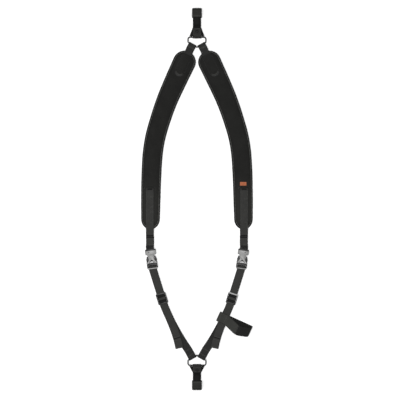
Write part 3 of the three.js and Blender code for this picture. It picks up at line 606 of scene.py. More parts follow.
# Black webbing for the real bar-tack tape, also laid as thin strips where there is only shade: painted shade.
M_WEB_BLACK_AND_SHADE = webbing_material("black_webbing_and_painted_shade", (0.003, 0.003, 0.003), sheen=0.0)
M_KEEP = webbing_material("keeper_webbing", (0.033, 0.0335, 0.03), 0.0012, 0.0018, sheen=0.06, edge=0.0125)
M_KEEP_DARK = webbing_material("keeper_webbing_shaded", (0.0065, 0.0065, 0.006), 0.0012, 0.0018, sheen=0.02,
                               edge=0.0125)
M_SPACER = mesh_material("spacer_mesh", (0.02, 0.02, 0.02))
M_PLASTIC = plastic_material("hook_plastic", (0.0110, 0.0115, 0.0100), 0.5, grain=0.8, specular=0.12)
# A darker copy of the hook plastic, for the gate, the hook's neck and small hollows: painted shade.
M_PLASTIC_SHADED = plastic_material("plastic_painted_shade", (0.0032, 0.0033, 0.0030), 0.6, grain=0.6, specular=0.07)
M_BUCKLE = plastic_material("buckle_plastic", (0.0045, 0.0045, 0.0048), 0.36, specular=0.2)
# A light grey for the buckles' and the slider's up-facing faces: a painted reflection of the lamp overhead.
M_PAINTED_REFLECTION = plastic_material("plastic_painted_reflection", (0.145, 0.145, 0.143), 0.4, coat=0.08, grain=0.3)
M_WIRE = plastic_material("coated_wire", (0.003, 0.003, 0.0032), 0.5, specular=0.1)
M_STEEL = plastic_material("dark_steel", (0.04, 0.04, 0.042), 0.42, metallic=1.0)
M_THREAD = thread_material("edge_thread", (0.13, 0.13, 0.12))
M_THREAD_DARK = thread_material("web_thread", (0.05, 0.05, 0.046))
# Black thread for real stitching, also laid as arcs and rows where there is only shade: painted shade.
M_BLACK_THREAD_AND_SHADE = thread_material("black_thread_and_painted_shade", (0.003, 0.003, 0.003))
M_LABEL = cloth_material("label_weave", (0.42, 0.125, 0.055), 0.0009, 0.7, 0.1)
M_LABEL_THREAD = thread_material("label_thread", (0.55, 0.22, 0.12))


# ------------------------------------------------------------------ pads
def pad_axis(side):
    route = [Vector((side * x, y, w)) for x, y, w in PAD_ROUTE]
    return spaced(catmull(route), 4.0)


def pad_rows(side, inset):
    """Rows across the pad, top end first: (centre, across, half width, half width before its end rounds off,
    depth into that end)."""
    line = pad_axis(side)
    caps = 12
    rows = []
    n = len(line)
    for i, p in enumerate(line):
        a, b = line[max(i - 1, 0)], line[min(i + 1, n - 1)]
        along = Vector((b.x - a.x, b.y - a.y, 0)).normalized()
        rows.append((at_height(p), along, square_to(along), p.z - inset))

    def cap(row, sign, length):
        c, along, across, half = row
        out = []
        for k in range(1, caps + 1):
            a = math.radians(86) * (k / caps) ** 0.85
            into = math.sin(a)
            centre = c + along * (sign * (length - inset) * into)
            out.append((centre, across, half * math.cos(a), half, half * into))
        return out

    top = cap(rows[0], -1, rows[0][3] + inset)
    end = cap(rows[-1], 1, BOTTOM_CAP)
    return top[::-1] + [(c, ac, h, h, 0) for c, _, ac, h in rows] + end


COLUMNS = [math.sin(math.pi / 2 * k / 14) for k in range(-14, 15)]


def from_edge(row, t):
    """How far a point of the cloth, at column t of a row, is from the pad's outline."""
    _, _, half, full, into = row
    return full - math.hypot(t * half, into) + FACE_INSET


def pad_grid(side, height):
    """Points over the cloth; height(e) is given the distance from the pad's outline."""
    grid = []
    for row in pad_rows(side, FACE_INSET):
        c, across, half, _, _ = row
        grid.append([at_height(c + across * (t * half), height(from_edge(row, t))) for t in COLUMNS])
    return grid


def closed_slab(name, top, under, material, **kw):
    rows, cols = len(top), len(top[0])
    verts = [p for row in top for p in row] + [p for row in under for p in row]
    off = rows * cols
    faces = []
    for i in range(rows - 1):
        for j in range(cols - 1):
            a, b, c, d = i * cols + j, (i + 1) * cols + j, (i + 1) * cols + j + 1, i * cols + j + 1
            faces += [(a, b, c, d), (a + off, d + off, c + off, b + off)]
    rim = list(range(cols - 1)) + [i * cols + cols - 1 for i in range(rows - 1)]
    rim += [(rows - 1) * cols + j for j in range(cols - 1, 0, -1)]
    rim += [i * cols for i in range(rows - 1, 0, -1)]
    for a, b in zip(rim, rim[1:] + rim[:1]):
        faces.append((a, b, b + off, a + off))
    return new_object(name, verts, faces, material, **kw)


def inflate(obj, pinned, pressure, cap):
    """Cloth pressure puffs the piece between its pinned vertices; no point moves further than cap mm."""
    rest = [v.co.copy() for v in obj.data.vertices]
    group = obj.vertex_groups.new(name="held")
    group.add(pinned, 1.0, "REPLACE")
    mod = obj.modifiers.new("puff", "CLOTH")
    s = mod.settings
    s.quality = 6
    s.mass = 0.25
    s.tension_stiffness = s.compression_stiffness = 18
    s.shear_stiffness = 8
    s.bending_stiffness = 0.6
    s.vertex_group_mass = "held"
    s.use_pressure = True
    s.uniform_pressure_force = pressure
    s.shrink_min = -0.012
    s.effector_weights.gravity = 0
    mod.collision_settings.use_collision = False
    scene = bpy.context.scene
    for f in range(1, 21):
        scene.frame_set(f)
    dg = bpy.context.evaluated_depsgraph_get()
    moved = [v.co.copy() for v in obj.evaluated_get(dg).data.vertices]
    obj.modifiers.remove(mod)
    obj.vertex_groups.clear()
    scene.frame_set(1)
    for v, a, b in zip(obj.data.vertices, rest, moved):
        d = b - a
        limit = cap * MM
        v.co = a + (d if d.length <= limit else d * (limit / d.length))


def pad_face(side, name):
    """The pad's cloth with its foam: a crowned slab, puffed a little by cloth pressure."""
    def top(e):
        return 4.3 + 4.9 * smooth((e - 5.4) / 11)

    upper = pad_grid(side, top)
    lower = pad_grid(side, lambda e: 2.6)
    obj = closed_slab(f"{name}_pad_cushion", upper, lower, M_FACE)
    rows, cols = len(upper), len(COLUMNS)
    off = rows * cols
    held = list(range(off, 2 * off))
    flat = pad_rows(side, FACE_INSET)
    for i, row in enumerate(flat):
        held += [i * cols + j for j, t in enumerate(COLUMNS) if from_edge(row, t) < HELD_RIM]
    inflate(obj, held, pressure=5.0, cap=3.0)
    # Long soft ripples of a foam pad that has been worn and laid down, and the dents its sewn pieces pull in.
    for k in range(off):
        v = obj.data.vertices[k]
        i, j = divmod(k, cols)
        e = from_edge(flat[i], COLUMNS[j])
        x, y, z = v.co / MM
        w = smooth((e - 6) / 8)
        ripple = noise.noise(Vector((x / 26, y / 19, side * 3.1))) * 0.55
        ripple += noise.noise(Vector((x / 9, y / 11, side * 7.7))) * 0.16
        pull = noise.noise(Vector((y / 7.5, side * 5.0, 0.3))) * 0.35 * smooth((e - 5.2) / 3)
        pull *= 1 - smooth((e - 9) / 9)
        z += ripple * w + pull
        dx = abs(x - side * STRAP_X)
        if y < 26:
            z -= 0.9 * math.exp(-(((dx - 10.3) / 2.2) ** 2)) * smooth((26 - y) / 4)
        v.co = Vector((x, y, z)) * MM
    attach(obj, "harness")
    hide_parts(f"{name}_pad_face", f"{name}_pad_foam_core")
    mod = obj.modifiers.new("soft", "SUBSURF")
    mod.levels = mod.render_levels = 1
    return obj


def pad_backing(side, name):
    def under(e):
        return 1.35 * (1 - smooth((e - 6) / 3)) + 0.25

    lower = pad_grid(side, under)
    upper = pad_grid(side, lambda e: 2.4)
    for row in lower:
        for p in row:
            p.z = max(0.12, p.z + noise.noise(Vector((p.x / 22, p.y / 22, 4))) * 0.12)
    obj = closed_slab(f"{name}_pad_lining", upper, lower, M_SPACER, body="harness", slot="spacer_mesh")
    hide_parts(f"{name}_pad_backing")
    return obj


def pad_outline(side):
    rows = pad_rows(side, 0)
    right = [c + a * h for c, a, h, _, _ in rows]
    left = [c - a * h for c, a, h, _, _ in rows]
    return [at_height(p) for p in right + left[::-1]]


def pad_binding(side, name):
    """The tape bound round the pad's edge, puckered by its stitching, and the stitches."""
    line = spaced(catmull(pad_outline(side), closed=True, per=4), 1.1, closed=True)
    n = len(line)
    top_end = Vector((side * PAD_ROUTE[0][0], PAD_ROUTE[0][1], 0))
    # Out of the pad's outline and up, round the tape: over the top, down the edge and back under.
    section = [
        (-5.0, 5.1), (-4.75, 5.5), (-3.9, 5.62), (-2.2, 5.72), (-0.9, 5.55), (-0.25, 4.9), (0, 3.9),
        (0.06, 2.8), (0, 1.7), (-0.25, 0.75), (-0.9, 0.22), (-2.2, 0.08), (-3.9, 0.1), (-4.75, 0.2),
        (-5.0, 0.5), (-4.6, 0.95), (-1.3, 1.05), (-1.05, 1.5), (-1.05, 4.1), (-1.3, 4.55), (-4.6, 4.7),
    ]
    rings = []
    length = [0]
    seam = []
    for i, p in enumerate(line):
        along = (line[(i + 1) % n] - line[(i - 1) % n]).normalized()
        out = along.cross(UP) * side
        if i == 0:
            outward = -1 if out.dot(p - top_end) < 0 else 1
        out = out * outward
        s = length[-1]
        pucker = 0.13 * math.cos(2 * math.pi * s / 3.4) + 0.1 * noise.noise(Vector((s / 9, side * 2.0, 0)))
        ring = []
        for a, z in section:
            w = smooth((-a - 1.2) / 1.5) if z > 3 else 0
            edge = 0.18 * noise.noise(Vector((s / 14, side * 9.0, 1))) if abs(a) < 1.2 else 0
            ring.append(Vector((p.x + out.x * (a + edge), p.y + out.y * (a + edge), z + pucker * w)))
        rings.append(ring)
        seam.append((Vector((p.x + out.x * -3.7, p.y + out.y * -3.7, 5.62)), UP))
        length.append(s + (line[(i + 1) % n] - p).length)
    obj = loft(f"{name}_pad_edge_binding", rings, M_BIND, closed=True, body="harness", slot="binding_tape",
               uv_of=lambda i, j: (section[j][0] + (section[j][1] if j in range(5, 10) else 0), length[i]))
    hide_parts(f"{name}_pad_binding")
    stitch_mesh(f"{name}_pad_edge_stitching", [seam + seam[:1]], M_THREAD, slot="binding_tape",
                length=2.7, pitch=3.6, radius=0.42, lift=0.16)
    under = [(Vector((p.x, p.y, 0.1)), -UP) for p, _ in seam]
    stitch_mesh(f"{name}_pad_under_stitching", [under + under[:1]], M_THREAD, slot="binding_tape",
                length=2.5, pitch=3.4, radius=0.22, lift=0.0)


def top_axis(side):
    """Points a millimetre apart down the pad's middle from its very top."""
    line = [at_height(p) for p in pad_axis(side)]
    along = (line[1] - line[0]).normalized()
    return spaced([line[0] - along * PAD_ROUTE[0][2], *line], 1.0)


def arc_roll(name, centre, along, reach, angle, tree, radius, height, material):
    """A roll of cloth round an arc in plan, lying on the pad and tapering to its two ends."""
    across = square_to(along)
    line = []
    for k in range(29):
        a = -angle + 2 * angle * k / 28
        p = centre + along * (reach * math.cos(a)) + across * (reach * math.sin(a))
        line.append(laid(tree, p.x, p.y, 10))
    rings = []
    for i, (p, u, _) in enumerate(frames_along(line)):
        taper = max(0.12, math.sin(math.pi * (i + 0.5) / 29)) ** 0.6
        rings.append(hoop(p, u, UP, radius * taper, height * taper, 12))
    return loft(name, rings, material, body="harness", slot="pad_fabric")


def cover_end(name, tree, axis):
    """The mouth at the cover's lower end: a rolled lip whose lighter cloth is a painted highlight, and a
    black painted shadow arc just past it.
    """
    i = 54
    along = (axis[i + 3] - axis[i - 3]).normalized()
    arc_roll(f"{name}_cover_lip", axis[i], along, 9.0, math.radians(70), tree, 1.4, 1.3, M_LIP_HIGHLIGHT)
    arc_roll(f"{name}_cover_painted_shadow", axis[i], along, 11.8, math.radians(66), tree, 1.7, 0.45, M_BLACK_THREAD_AND_SHADE)


def anchor_cover(side, name, tree):
    """The patch sewn over the end of the upper webbing, raised where the webbing runs under it."""
    axis = top_axis(side)
    # Half width, and where the cover starts and ends down the pad's middle.
    half, start, end = 13.5, 9, 67
    columns = [-1, -0.965, -0.88, -0.8, -0.74, -0.5, -0.2, 0.2, 0.5, 0.74, 0.8, 0.88, 0.965, 1]
    top, under = [], []
    distances = [start + (end - start) * k / 40 for k in range(36)]
    distances += [end - 5 + 5 * math.sin(math.pi / 2 * k / 7) * 0.995 for k in range(0, 8)]

    def station(d, hem, least):
        """The cover's middle at d down the pad, the way across, and its half width less a hem."""
        i = int(d)
        along = (axis[i + 3] - axis[max(i - 3, 0)]).normalized()
        left, full = end - hem - d, half - hem
        w = math.sqrt(max(least, full ** 2 - (full - left) ** 2)) if left < full else full
        return axis[i].lerp(axis[i + 1], d - i), square_to(along), w if left >= 0 else 0

    for d in distances:
        p, across, w = station(d, 0, 0.3)
        over = smooth((60 - d) / 7)
        row, low = [], []
        for t in columns:
            q = p + across * (t * w)
            base = top_at(tree, q.x, q.y, PAD_EDGE)
            base = max(base, PAD_EDGE - 0.1)
            ridge = 2.5 * over * (1 - smooth((abs(t * w) - 8.4) / 3.0))
            wrinkle = 0.22 * noise.noise(Vector((q.x / 6, q.y / 6, 2.2)))
            lip = 0.75 if abs(t) < 0.97 else 0.35
            row.append(Vector((q.x, q.y, base + ridge + lip + wrinkle)))
            low.append(Vector((q.x, q.y, base + max(0, ridge - 0.5) - 0.25)))
        top.append(row)
        under.append(low)
    obj = closed_slab(f"{name}_web_cover", top, under, M_COVER, body="harness", slot="pad_fabric")
    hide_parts(f"{name}_pad_anchor_cover")
    cover = bvh_of(obj)
    runs = []
    for s in (-1, 1):
        run = []
        for d in distances[1:-3]:
            p, across, w = station(d, 1.6, 0.0)
            q = p + across * (s * w)
            run.append((laid(cover, q.x, q.y, 9), UP))
        runs.append(run)
    runs = [runs[0] + runs[1][::-1]]
    stitch_mesh(f"{name}_cover_stitching", runs, M_BLACK_THREAD_AND_SHADE, slot="pad_fabric", radius=0.26, lift=0.06)
    cover_end(name, cover, axis)


# ------------------------------------------------------------------ rings
def ring_bar(side, end):
    y, down = RING_BAR[end]
    half = RING["half"] / 2
    c = Vector((side * half, y + down * (RING["height"] - half * math.tan(RING["slope"])), RING["z"]))
    return c, Vector((side * math.sin(RING["slope"]), down * math.cos(RING["slope"]), 0))


def ring(end):
    """The bent wire ring, with the bead of its weld on the straight side."""
    y, down = RING_BAR[end]
    h, tall = RING["half"], RING["height"]
    shoulder = -tall + h * math.tan(RING["slope"])
    flat = rounded([(-h, 0, 5), (-h, shoulder, 4), (0, -tall, 3), (h, shoulder, 4), (h, 0, 5)], 8)
    line = spaced([Vector((p.x, y - down * p.y, RING["z"])) for p in flat], 0.9, closed=True)
    n = len(line)
    rings = []
    for i, p in enumerate(line):
        along = (line[(i + 1) % n] - line[i - 1]).normalized()
        out = along.cross(UP)
        weld = 0.16 * math.exp(-(((p.x - 13) / 1.2) ** 2)) if abs(p.y - y) < 1 else 0
        r = RING["wire"] + weld
        rings.append(hoop(p, out, UP, r, r, 18))
    obj = loft(f"{end}_wire_ring", rings, M_WIRE, closed=True, body="harness", slot="black_wire")
    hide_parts(f"{end}_ring")


def wrap_radius(bar):
    """Radius of the middle of the webbing folded round a bar."""
    return bar + FOLD_GAP + THICK / 2


def fold(centre, outward, radius):
    """Half a turn round a bar, from under it to over it."""
    return [centre + outward * (radius * math.cos(a)) + UP * (radius * math.sin(a))
            for a in [-math.pi / 2 + math.pi * k / 14 for k in range(15)]]


def across_run(tree, centre, across, half, count=9):
    """A line of stitching across a strap."""
    out = []
    for k in range(count):
        p = centre + across * (half * (2 * k / (count - 1) - 1))
        z = top_at(tree, p.x, p.y)
        out.append((Vector((p.x, p.y, (z if z is not None else centre.z) + 0.05)), UP))
    return out


def upper_web(side, name, pad):
    """The webbing round the upper ring and down under the cover on the pad."""
    c, away = ring_bar(side, "upper")
    r = wrap_radius(RING["wire"])
    low = RING["z"] - r

    def back(d, z):
        return at_height(c + away * d, z)

    axis = top_axis(side)
    pts = [back(14, low + 0.1), back(8, low), *fold(c, -away, r)]
    on = []
    for d in (3, 6, 9, 13, 17, 21, 26, 32, 38, 44):
        p = axis[d]
        z = max(top_at(pad, p.x, p.y, PAD_EDGE), PAD_EDGE)
        on.append(Vector((p.x, p.y, z + THICK / 2 + (0.1 if d < 6 else 0.25))))
    pts += [back(6, RING["z"] + r - 0.6), back(12, RING["z"] + r - 0.8), *on]
    line = spaced(catmull(pts, per=8), 1.6)
    bar_u = square_to(away)

    def turn(i):
        p = line[i]
        d = (p - c).dot(away)
        j = min(max(int((axis[0] - p).length), 0), 60)
        along = (axis[j + 3] - axis[max(j - 2, 0)]).normalized()
        on_u = square_to(along)
        if on_u.dot(bar_u) < 0:
            on_u = -on_u
        return bar_u.lerp(on_u, smooth((d - 4) / 14)).normalized()

    obj = strip(f"{name}_upper_strap", line, M_WEB_TOP, u=turn, body="harness")
    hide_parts(f"{name}_upper_web")
    tree = bvh_of(obj)
    runs = [across_run(tree, c + away * d, bar_u, 8.6) for d in (6.5, 8.2, 9.9)]
    stitch_mesh(f"{name}_upper_strap_tack", runs, M_THREAD_DARK,
                length=1.9, pitch=2.3, radius=0.27)


# ------------------------------------------------------------------ lower webbing
def socket_web(side, name, pad):
    """The webbing from the slot in the pad's face, down round the buckle socket's bar and back."""
    x = side * STRAP_X
    pad_end = PAD_ROUTE[-1][1] - BOTTOM_CAP
    bar = buckle_point(side, 0, BUCKLE["socket_bar"], BUCKLE["z"])
    axis = buckle_axis(side)
    r = wrap_radius(BUCKLE["socket_radius"])
    low = BUCKLE["z"] - r

    def drape(y):
        z = max(top_at(pad, x, y, PAD_EDGE), PAD_EDGE)
        return Vector((x, y, z + THICK / 2 + 0.15))

    def ahead(d, z):
        return at_height(bar + axis * d, z)

    pts = [drape(y) for y in (27, 20, 12, 4, -6, -16, -26, -36, -46, -54, -60, -65, -69, -72.5)]
    pts[0].z -= 1.6
    pts += [Vector((x, pad_end - 5, 4.2)), Vector((x, pad_end - 11, low + 0.4)),
            Vector((side * 117.5, -98, low)), Vector((side * 117.1, -108, low)), ahead(8, low),
            *fold(bar, -axis, r)]
    pts += [ahead(3, BUCKLE["z"] + r - 0.4), ahead(8, BUCKLE["z"] + 0.6)]
    pts += [Vector((side * 117.3, y, low + THICK + 0.35)) for y in (-114, -103, -92)]
    line = spaced(catmull(pts, per=8), 1.5)

    def settle(q):
        if q.y < -66 or q.y > 30:
            return q
        z = top_at(pad, q.x, q.y)
        centre = top_at(pad, x, q.y)
        if z is None or centre is None:
            return q
        rise = 0.85 * (max(z, PAD_EDGE) - max(centre, PAD_EDGE)) * smooth((q.y + 72) / 8)
        return Vector((q.x, q.y, q.z + rise))

    obj = strip(f"{name}_buckle_strap", line, M_WEB, settle=settle, body="harness")
    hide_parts(f"{name}_socket_web")
    tree = bvh_of(obj)
    socket_sewing(side, name, tree, bar, axis)
    pad_slot(side, name, tree, pad)


def socket_sewing(side, name, tree, bar, axis):
    x = side * STRAP_X
    # A row of stitches down each edge, and pairs of short tacks inside one edge.
    runs = []
    for s in (-1, 1):
        run = []
        for k in range(49):
            y = 20 - k * 1.92
            q = x + s * 8.2
            z = top_at(tree, q, y)
            if z is not None:
                run.append((Vector((q, y, z + 0.04)), UP))
        runs.append(run)
    tacks = (2, -27, -57) if side > 0 else (6, -18, -30, -58)
    for y in tacks:
        for dy in (0, 2.6):
            runs.append(across_run(tree, Vector((x + 4.6, y - dy, 12)), Vector((1, 0, 0)), 4.2, count=5))
    stitch_mesh(f"{name}_buckle_strap_stitching", runs, M_THREAD_DARK,
                length=2.2, pitch=2.8, radius=0.3)
    # Where the strap is sewn back to itself: heavy black thread, black tapes, and lighter seams beside them.
    across = square_to(axis)
    level = Vector((1, 0, 0))
    middle = Vector((side * 117.4, 0, 12))
    # The thread rows just above the socket's bar are painted shade; those at y -93 are the real bar-tack.
    tack_and_shade_rows = [across_run(tree, bar + axis * d, across, 9.2) for d in (3.8, 5.0, 6.2, 7.4, 8.6, 9.8, 11.0)]
    tack_and_shade_rows += [across_run(tree, middle + Vector((0, y, 0)), level, 9.2) for y in (-93.2, -94.4)]
    stitch_mesh(f"{name}_buckle_strap_tack_and_shade", tack_and_shade_rows, M_BLACK_THREAD_AND_SHADE,
                length=2.0, pitch=2.1, radius=0.55, lift=-0.1)
    # The upper tape is the real bar-tack; the lower tape, just above the socket's bar, is painted shade.
    for part, y0, y1 in (("upper", -89.6, -97.6), ("lower", -116.4, -123.6)):
        tape = []
        for k in range(6):
            q = Vector((side * 117.35, y0 + (y1 - y0) * k / 5, 0))
            q.z = top_at(tree, q.x, q.y, 7) + 0.05
            tape.append(q)
        strip(f"{name}_{part}_tack_and_shade_tape", tape, M_WEB_BLACK_AND_SHADE, width=19.5, thick=0.4, body="harness")
    light = [across_run(tree, middle + Vector((0, y, 0)), level, 8.8) for y in (-88.2, -99.4, -113.5)]
    stitch_mesh(f"{name}_buckle_strap_seam", light, M_THREAD_DARK,
                length=1.9, pitch=2.4, radius=0.3)


def pad_slot(side, name, tree, pad):
    """The slot the strap comes out of in the pad's face: a bound lip, a stitched arch above it, and a painted
    shadow strip.
    """
    x = side * STRAP_X
    arc = [math.pi * k / 24 for k in range(25)]
    lip = [Vector((x + 12.2 * math.cos(a), SLOT_Y + 5.2 * math.sin(a), 0)) for a in arc]
    rings = []
    for i, p in enumerate(lip):
        a, b = lip[max(i - 1, 0)], lip[min(i + 1, 24)]
        along = (b - a).normalized()
        out = along.cross(UP)
        z = top_at(pad, p.x, p.y, 11)
        taper = math.sin(math.pi * min(max(i, 1), 23) / 24) ** 0.3
        rings.append([at_height(p, z) + out * (1.5 * math.cos(t)) + UP * ((0.2 + 0.95 * math.sin(t)) * taper)
                      for t in turns(10)])
    loft(f"{name}_slot_lip", rings, M_COVER, body="harness", slot="pad_fabric")
    # A thin black strip over the strap just below the lip: painted shadow in the slot's mouth.
    mouth = [Vector((x, y, 0)) for y in (25.8, 24.6, 23.4, 22.4)]
    for p in mouth:
        p.z = top_at(tree, p.x, p.y, 10) + 0.05
    strip(f"{name}_slot_painted_shadow", mouth, M_WEB_BLACK_AND_SHADE, width=12.5, thick=0.4, body="harness")
    arch = [(laid(pad, x + 15 * math.cos(a), 24.5 + 7.0 * math.sin(a), 10), UP) for a in arc]
    stitch_mesh(f"{name}_slot_stitching", [arch], M_THREAD_DARK, slot="pad_fabric", radius=0.26, lift=0.12)


def plug_point(side, d, z):
    """A point at d from the plug's bar, up the buckle."""
    return buckle_point(side, 0, BUCKLE["plug_bar"] + d, z)


def lower_strap(side, name):
    """The adjuster webbing's back run, from the lower ring up and round the plug's bar."""
    c, away = ring_bar(side, "lower")
    r = wrap_radius(RING["wire"])
    low = RING["z"] - r

    def at_ring(d, z):
        return at_height(c + away * d, z)

    plug_z = BUCKLE["plug_z"]
    plug_fold = wrap_radius(BUCKLE["plug_radius"])
    route = [Vector((side * x, y, 2.6)) for x, y in ((38.4, -352.5), (53, -327.5), (66, -302.5))]
    back = [at_ring(27, low), at_ring(14, low), at_ring(3, low), *fold(c, -away, r),
            at_ring(7, RING["z"] + 1.4), at_ring(13, 2.75), at_ring(20, 2.6), *route,
            *[glide_point(side, d, LOW_LAYER) for d in (-20, 0, 30, 56)], glide_point(side, 64, 2.7),
            plug_point(side, -6.5, 2.4), plug_point(side, -2.5, plug_z - plug_fold),
            *fold(plug_point(side, 0, plug_z), buckle_axis(side), plug_fold),
            *[plug_point(side, d, z) for d, z in ((-1.5, 6.5), (-4.1, 4.9), (-4.9, 4.78))]]
    line = spaced(catmull(back, per=8), 1.5)
    total = lengths_along(line)[-1]
    # The back run is in the darker copy of the webbing, painted shade; its last 13 mm, over the plug's bar,
    # keeps the strap's colour.
    obj = strip(f"{name}_lower_strap", line, M_WEB_SHADED, body="harness",
                second=(M_WEB, lambda v, _: v > total - 13))
    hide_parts(f"{name}_adjuster_web")
    tree = bvh_of(obj)
    runs = [across_run(tree, c + away * d, square_to(away), 8.5) for d in (7.5, 9.3, 22, 23.8)]
    stitch_mesh(f"{name}_lower_strap_tack", runs, M_THREAD_DARK,
                length=1.9, pitch=2.4, radius=0.28)


def front_strap(side, name):
    """The adjuster webbing's front run, back down through the slider to the tail's doubled end."""
    front = [plug_point(side, -4.2, 4.9), plug_point(side, -6.5, 4.62), glide_point(side, 66, 4.5),
             *[glide_point(side, d, HIGH_LAYER) for d in (56, 30, 0, -20)],
             Vector((side * 66.4, -302.5, HIGH_LAYER))]
    front += [Vector((side * x, y, HIGH_LAYER + 0.15 + 0.12 * k)) for k, (x, y) in enumerate(TAIL)]
    line = spaced(catmull(front, per=10), 1.5)

    def thick_at(s, total):
        left = total - s
        if left > HEM + 1.5:
            return 1
        return 1 + 1.15 * smooth((HEM + 1.5 - left) / 1.4) * (0.55 + 0.45 * smooth(left / 1.2))

    obj = strip(f"{name}_front_strap", line, M_WEB, thick_at=thick_at)
    s, e = front[-2], front[-1]
    along = (e - s).normalized()
    for v in obj.data.vertices:
        from_end = (e - v.co / MM).dot(along)
        v.co.z += 0.6 * MM * smooth((HEM + 4 - from_end) / 4)
    tail_sewing(name, bvh_of(obj), *front[-3:])
    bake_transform(obj)
    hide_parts(f"{name}_tail_end")


def tail_sewing(name, tree, before, s, e):
    """The stitching of the tail's hem, which lies between s and e, and the step above it, with a painted
    shadow strip.
    """
    along = (e - s).normalized()
    stitched = [across_run(tree, e - along * d, square_to(along), 8.6) for d in (3.0, HEM - 2.4)]
    stitch_mesh(f"{name}_tail_stitching", stitched, M_THREAD_DARK, body=f"{name}_tail",
                length=1.9, pitch=2.4, radius=0.3)
    above = (before - s).normalized()
    last = (e - s).length
    # A thin black strip on the strap at the hem's step: painted shadow.
    hem_shadow_line = [s + above * (HEM + d - last) for d in (1.2, 2.0, 2.8, 3.4)]
    for p in hem_shadow_line:
        p.z = top_at(tree, p.x, p.y) + 0.02
    strip(f"{name}_tail_hem_painted_shadow", hem_shadow_line, M_WEB_BLACK_AND_SHADE, width=18.8, thick=0.35, body=f"{name}_tail")
    light = [across_run(tree, s + above * (HEM + 4.8 - last), square_to(above), 8.6)]
    stitch_mesh(f"{name}_tail_hem_line", light, M_THREAD_DARK, body=f"{name}_tail",
                length=2.2, pitch=2.4, radius=0.36)


def glide_hump(side, name):
    """The webbing's rise over the slider's middle bar, which travels with the slider. Its slopes are painted
    shade.
    """
    reach = 10.2
    line = []
    for k in range(43):
        d = reach - 2 * reach * k / 42
        line.append(glide_point(side, d, HIGH_LAYER + 0.35 + 1.75 * smooth((5.2 - abs(d)) / 3.4)))
    # Only the top over the bar keeps the strap's colour; the slopes are black webbing, painted shade.
    strip(f"{name}_slider_web", line, M_WEB, width=19.9, thick=1.0, body=f"{name}_adjuster",
          second=(M_WEB_BLACK_AND_SHADE, lambda v, _: abs(v - reach) > 3.1))


def keeper_shaded(length, turn):
    """Whether a face of the keeper's strip looks into the loop, or lies in a span of its far end: painted
    shade, in the darker webbing.
    """
    return turn > 0.5 or KEEPER["painted_shade_span"][0] < length < KEEPER["painted_shade_span"][1]


def keeper():
    """The loop of webbing that slides on the right strap, leaning towards the lower ring."""
    out = Vector((math.cos(KEEPER["tilt"]), -math.sin(KEEPER["tilt"]), 0))
    along = Vector((math.sin(KEEPER["tilt"]), math.cos(KEEPER["tilt"]), 0))
    lowest, over = 1.0, HIGH_LAYER + THICK + 0.4
    inner, outer, mouth = -12.4, 76.1, KEEPER["mouth"]
    crest, height = KEEPER["crest"]
    prof = rounded([(inner, lowest, 1.8), (outer, lowest, 4.6), (outer, 10.5, 4.6), (crest, height, 30),
                    (mouth, over, 9), (inner, over, 1.8)], 8)
    centre = Vector((KEEPER["x"], KEEPER["y"], 0))
    pts = []
    for q in prof:
        lean = -KEEPER["lean"] * max(q.y - over, 0)
        pts.append(centre + out * q.x + along * lean + UP * q.y)
    line = spaced(catmull(pts, closed=True, per=3), 1.5, closed=True)
    # Faces looking into the loop and a span of its far end are in the darker keeper webbing: painted shade.
    obj = strip("keeper_strap", line, M_KEEP, width=KEEPER["width"], u=along, closed=True, body="keeper",
                second=(M_KEEP_DARK, keeper_shaded))
    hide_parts("keeper_loop")
    tree = bvh_of(obj)
    runs = []
    for e in (-8.5, -6.7, 6.2, 8.0, 41.5, 43.3):
        rise = (height - over) * max(e - mouth, 0) / (crest - mouth)
        middle = centre + out * e - along * (KEEPER["lean"] * rise) + UP * 8
        runs.append(across_run(tree, middle, along, 10.6, count=13))
    stitch_mesh("keeper_stitching", runs, M_THREAD_DARK, body="keeper", length=2.0, pitch=2.5, radius=0.3)


def label(pad):
    """The plain woven patch on the right pad."""
    cx, cy = 115.5, 38
    cols = [k - 8 for k in range(17)]
    rows = [-4.5 + 9 * k / 10 for k in range(11)]
    top, under = [], []
    for y in rows:
        row, low = [], []
        for x in cols:
            z = top_at(pad, cx + x, cy + y, 11)
            edge = min(8 - abs(x), 4.5 - abs(y))
            row.append(Vector((cx + x, cy + y, z + 0.35 + 0.4 * smooth(edge / 1.2))))
            low.append(Vector((cx + x, cy + y, z - 0.2)))
        top.append(row)
        under.append(low)
    obj = closed_slab("pad_patch", top, under, M_LABEL, body="harness", slot="label_weave")
    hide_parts("pad_label")
    tree = bvh_of(obj)
    ring_pts = [(-6.9, -3.4), (6.9, -3.4), (6.9, 3.4), (-6.9, 3.4), (-6.9, -3.4)]
    run = []
    for (x0, y0), (x1, y1) in zip(ring_pts, ring_pts[1:]):
        for k in range(8):
            x, y = x0 + (x1 - x0) * k / 8, y0 + (y1 - y0) * k / 8
            run.append((laid(tree, cx + x, cy + y, 11), UP))
    stitch_mesh("pad_patch_stitching", [run + run[:1]], M_LABEL_THREAD, slot="label_weave",
                length=1.3, pitch=1.8, radius=0.22)


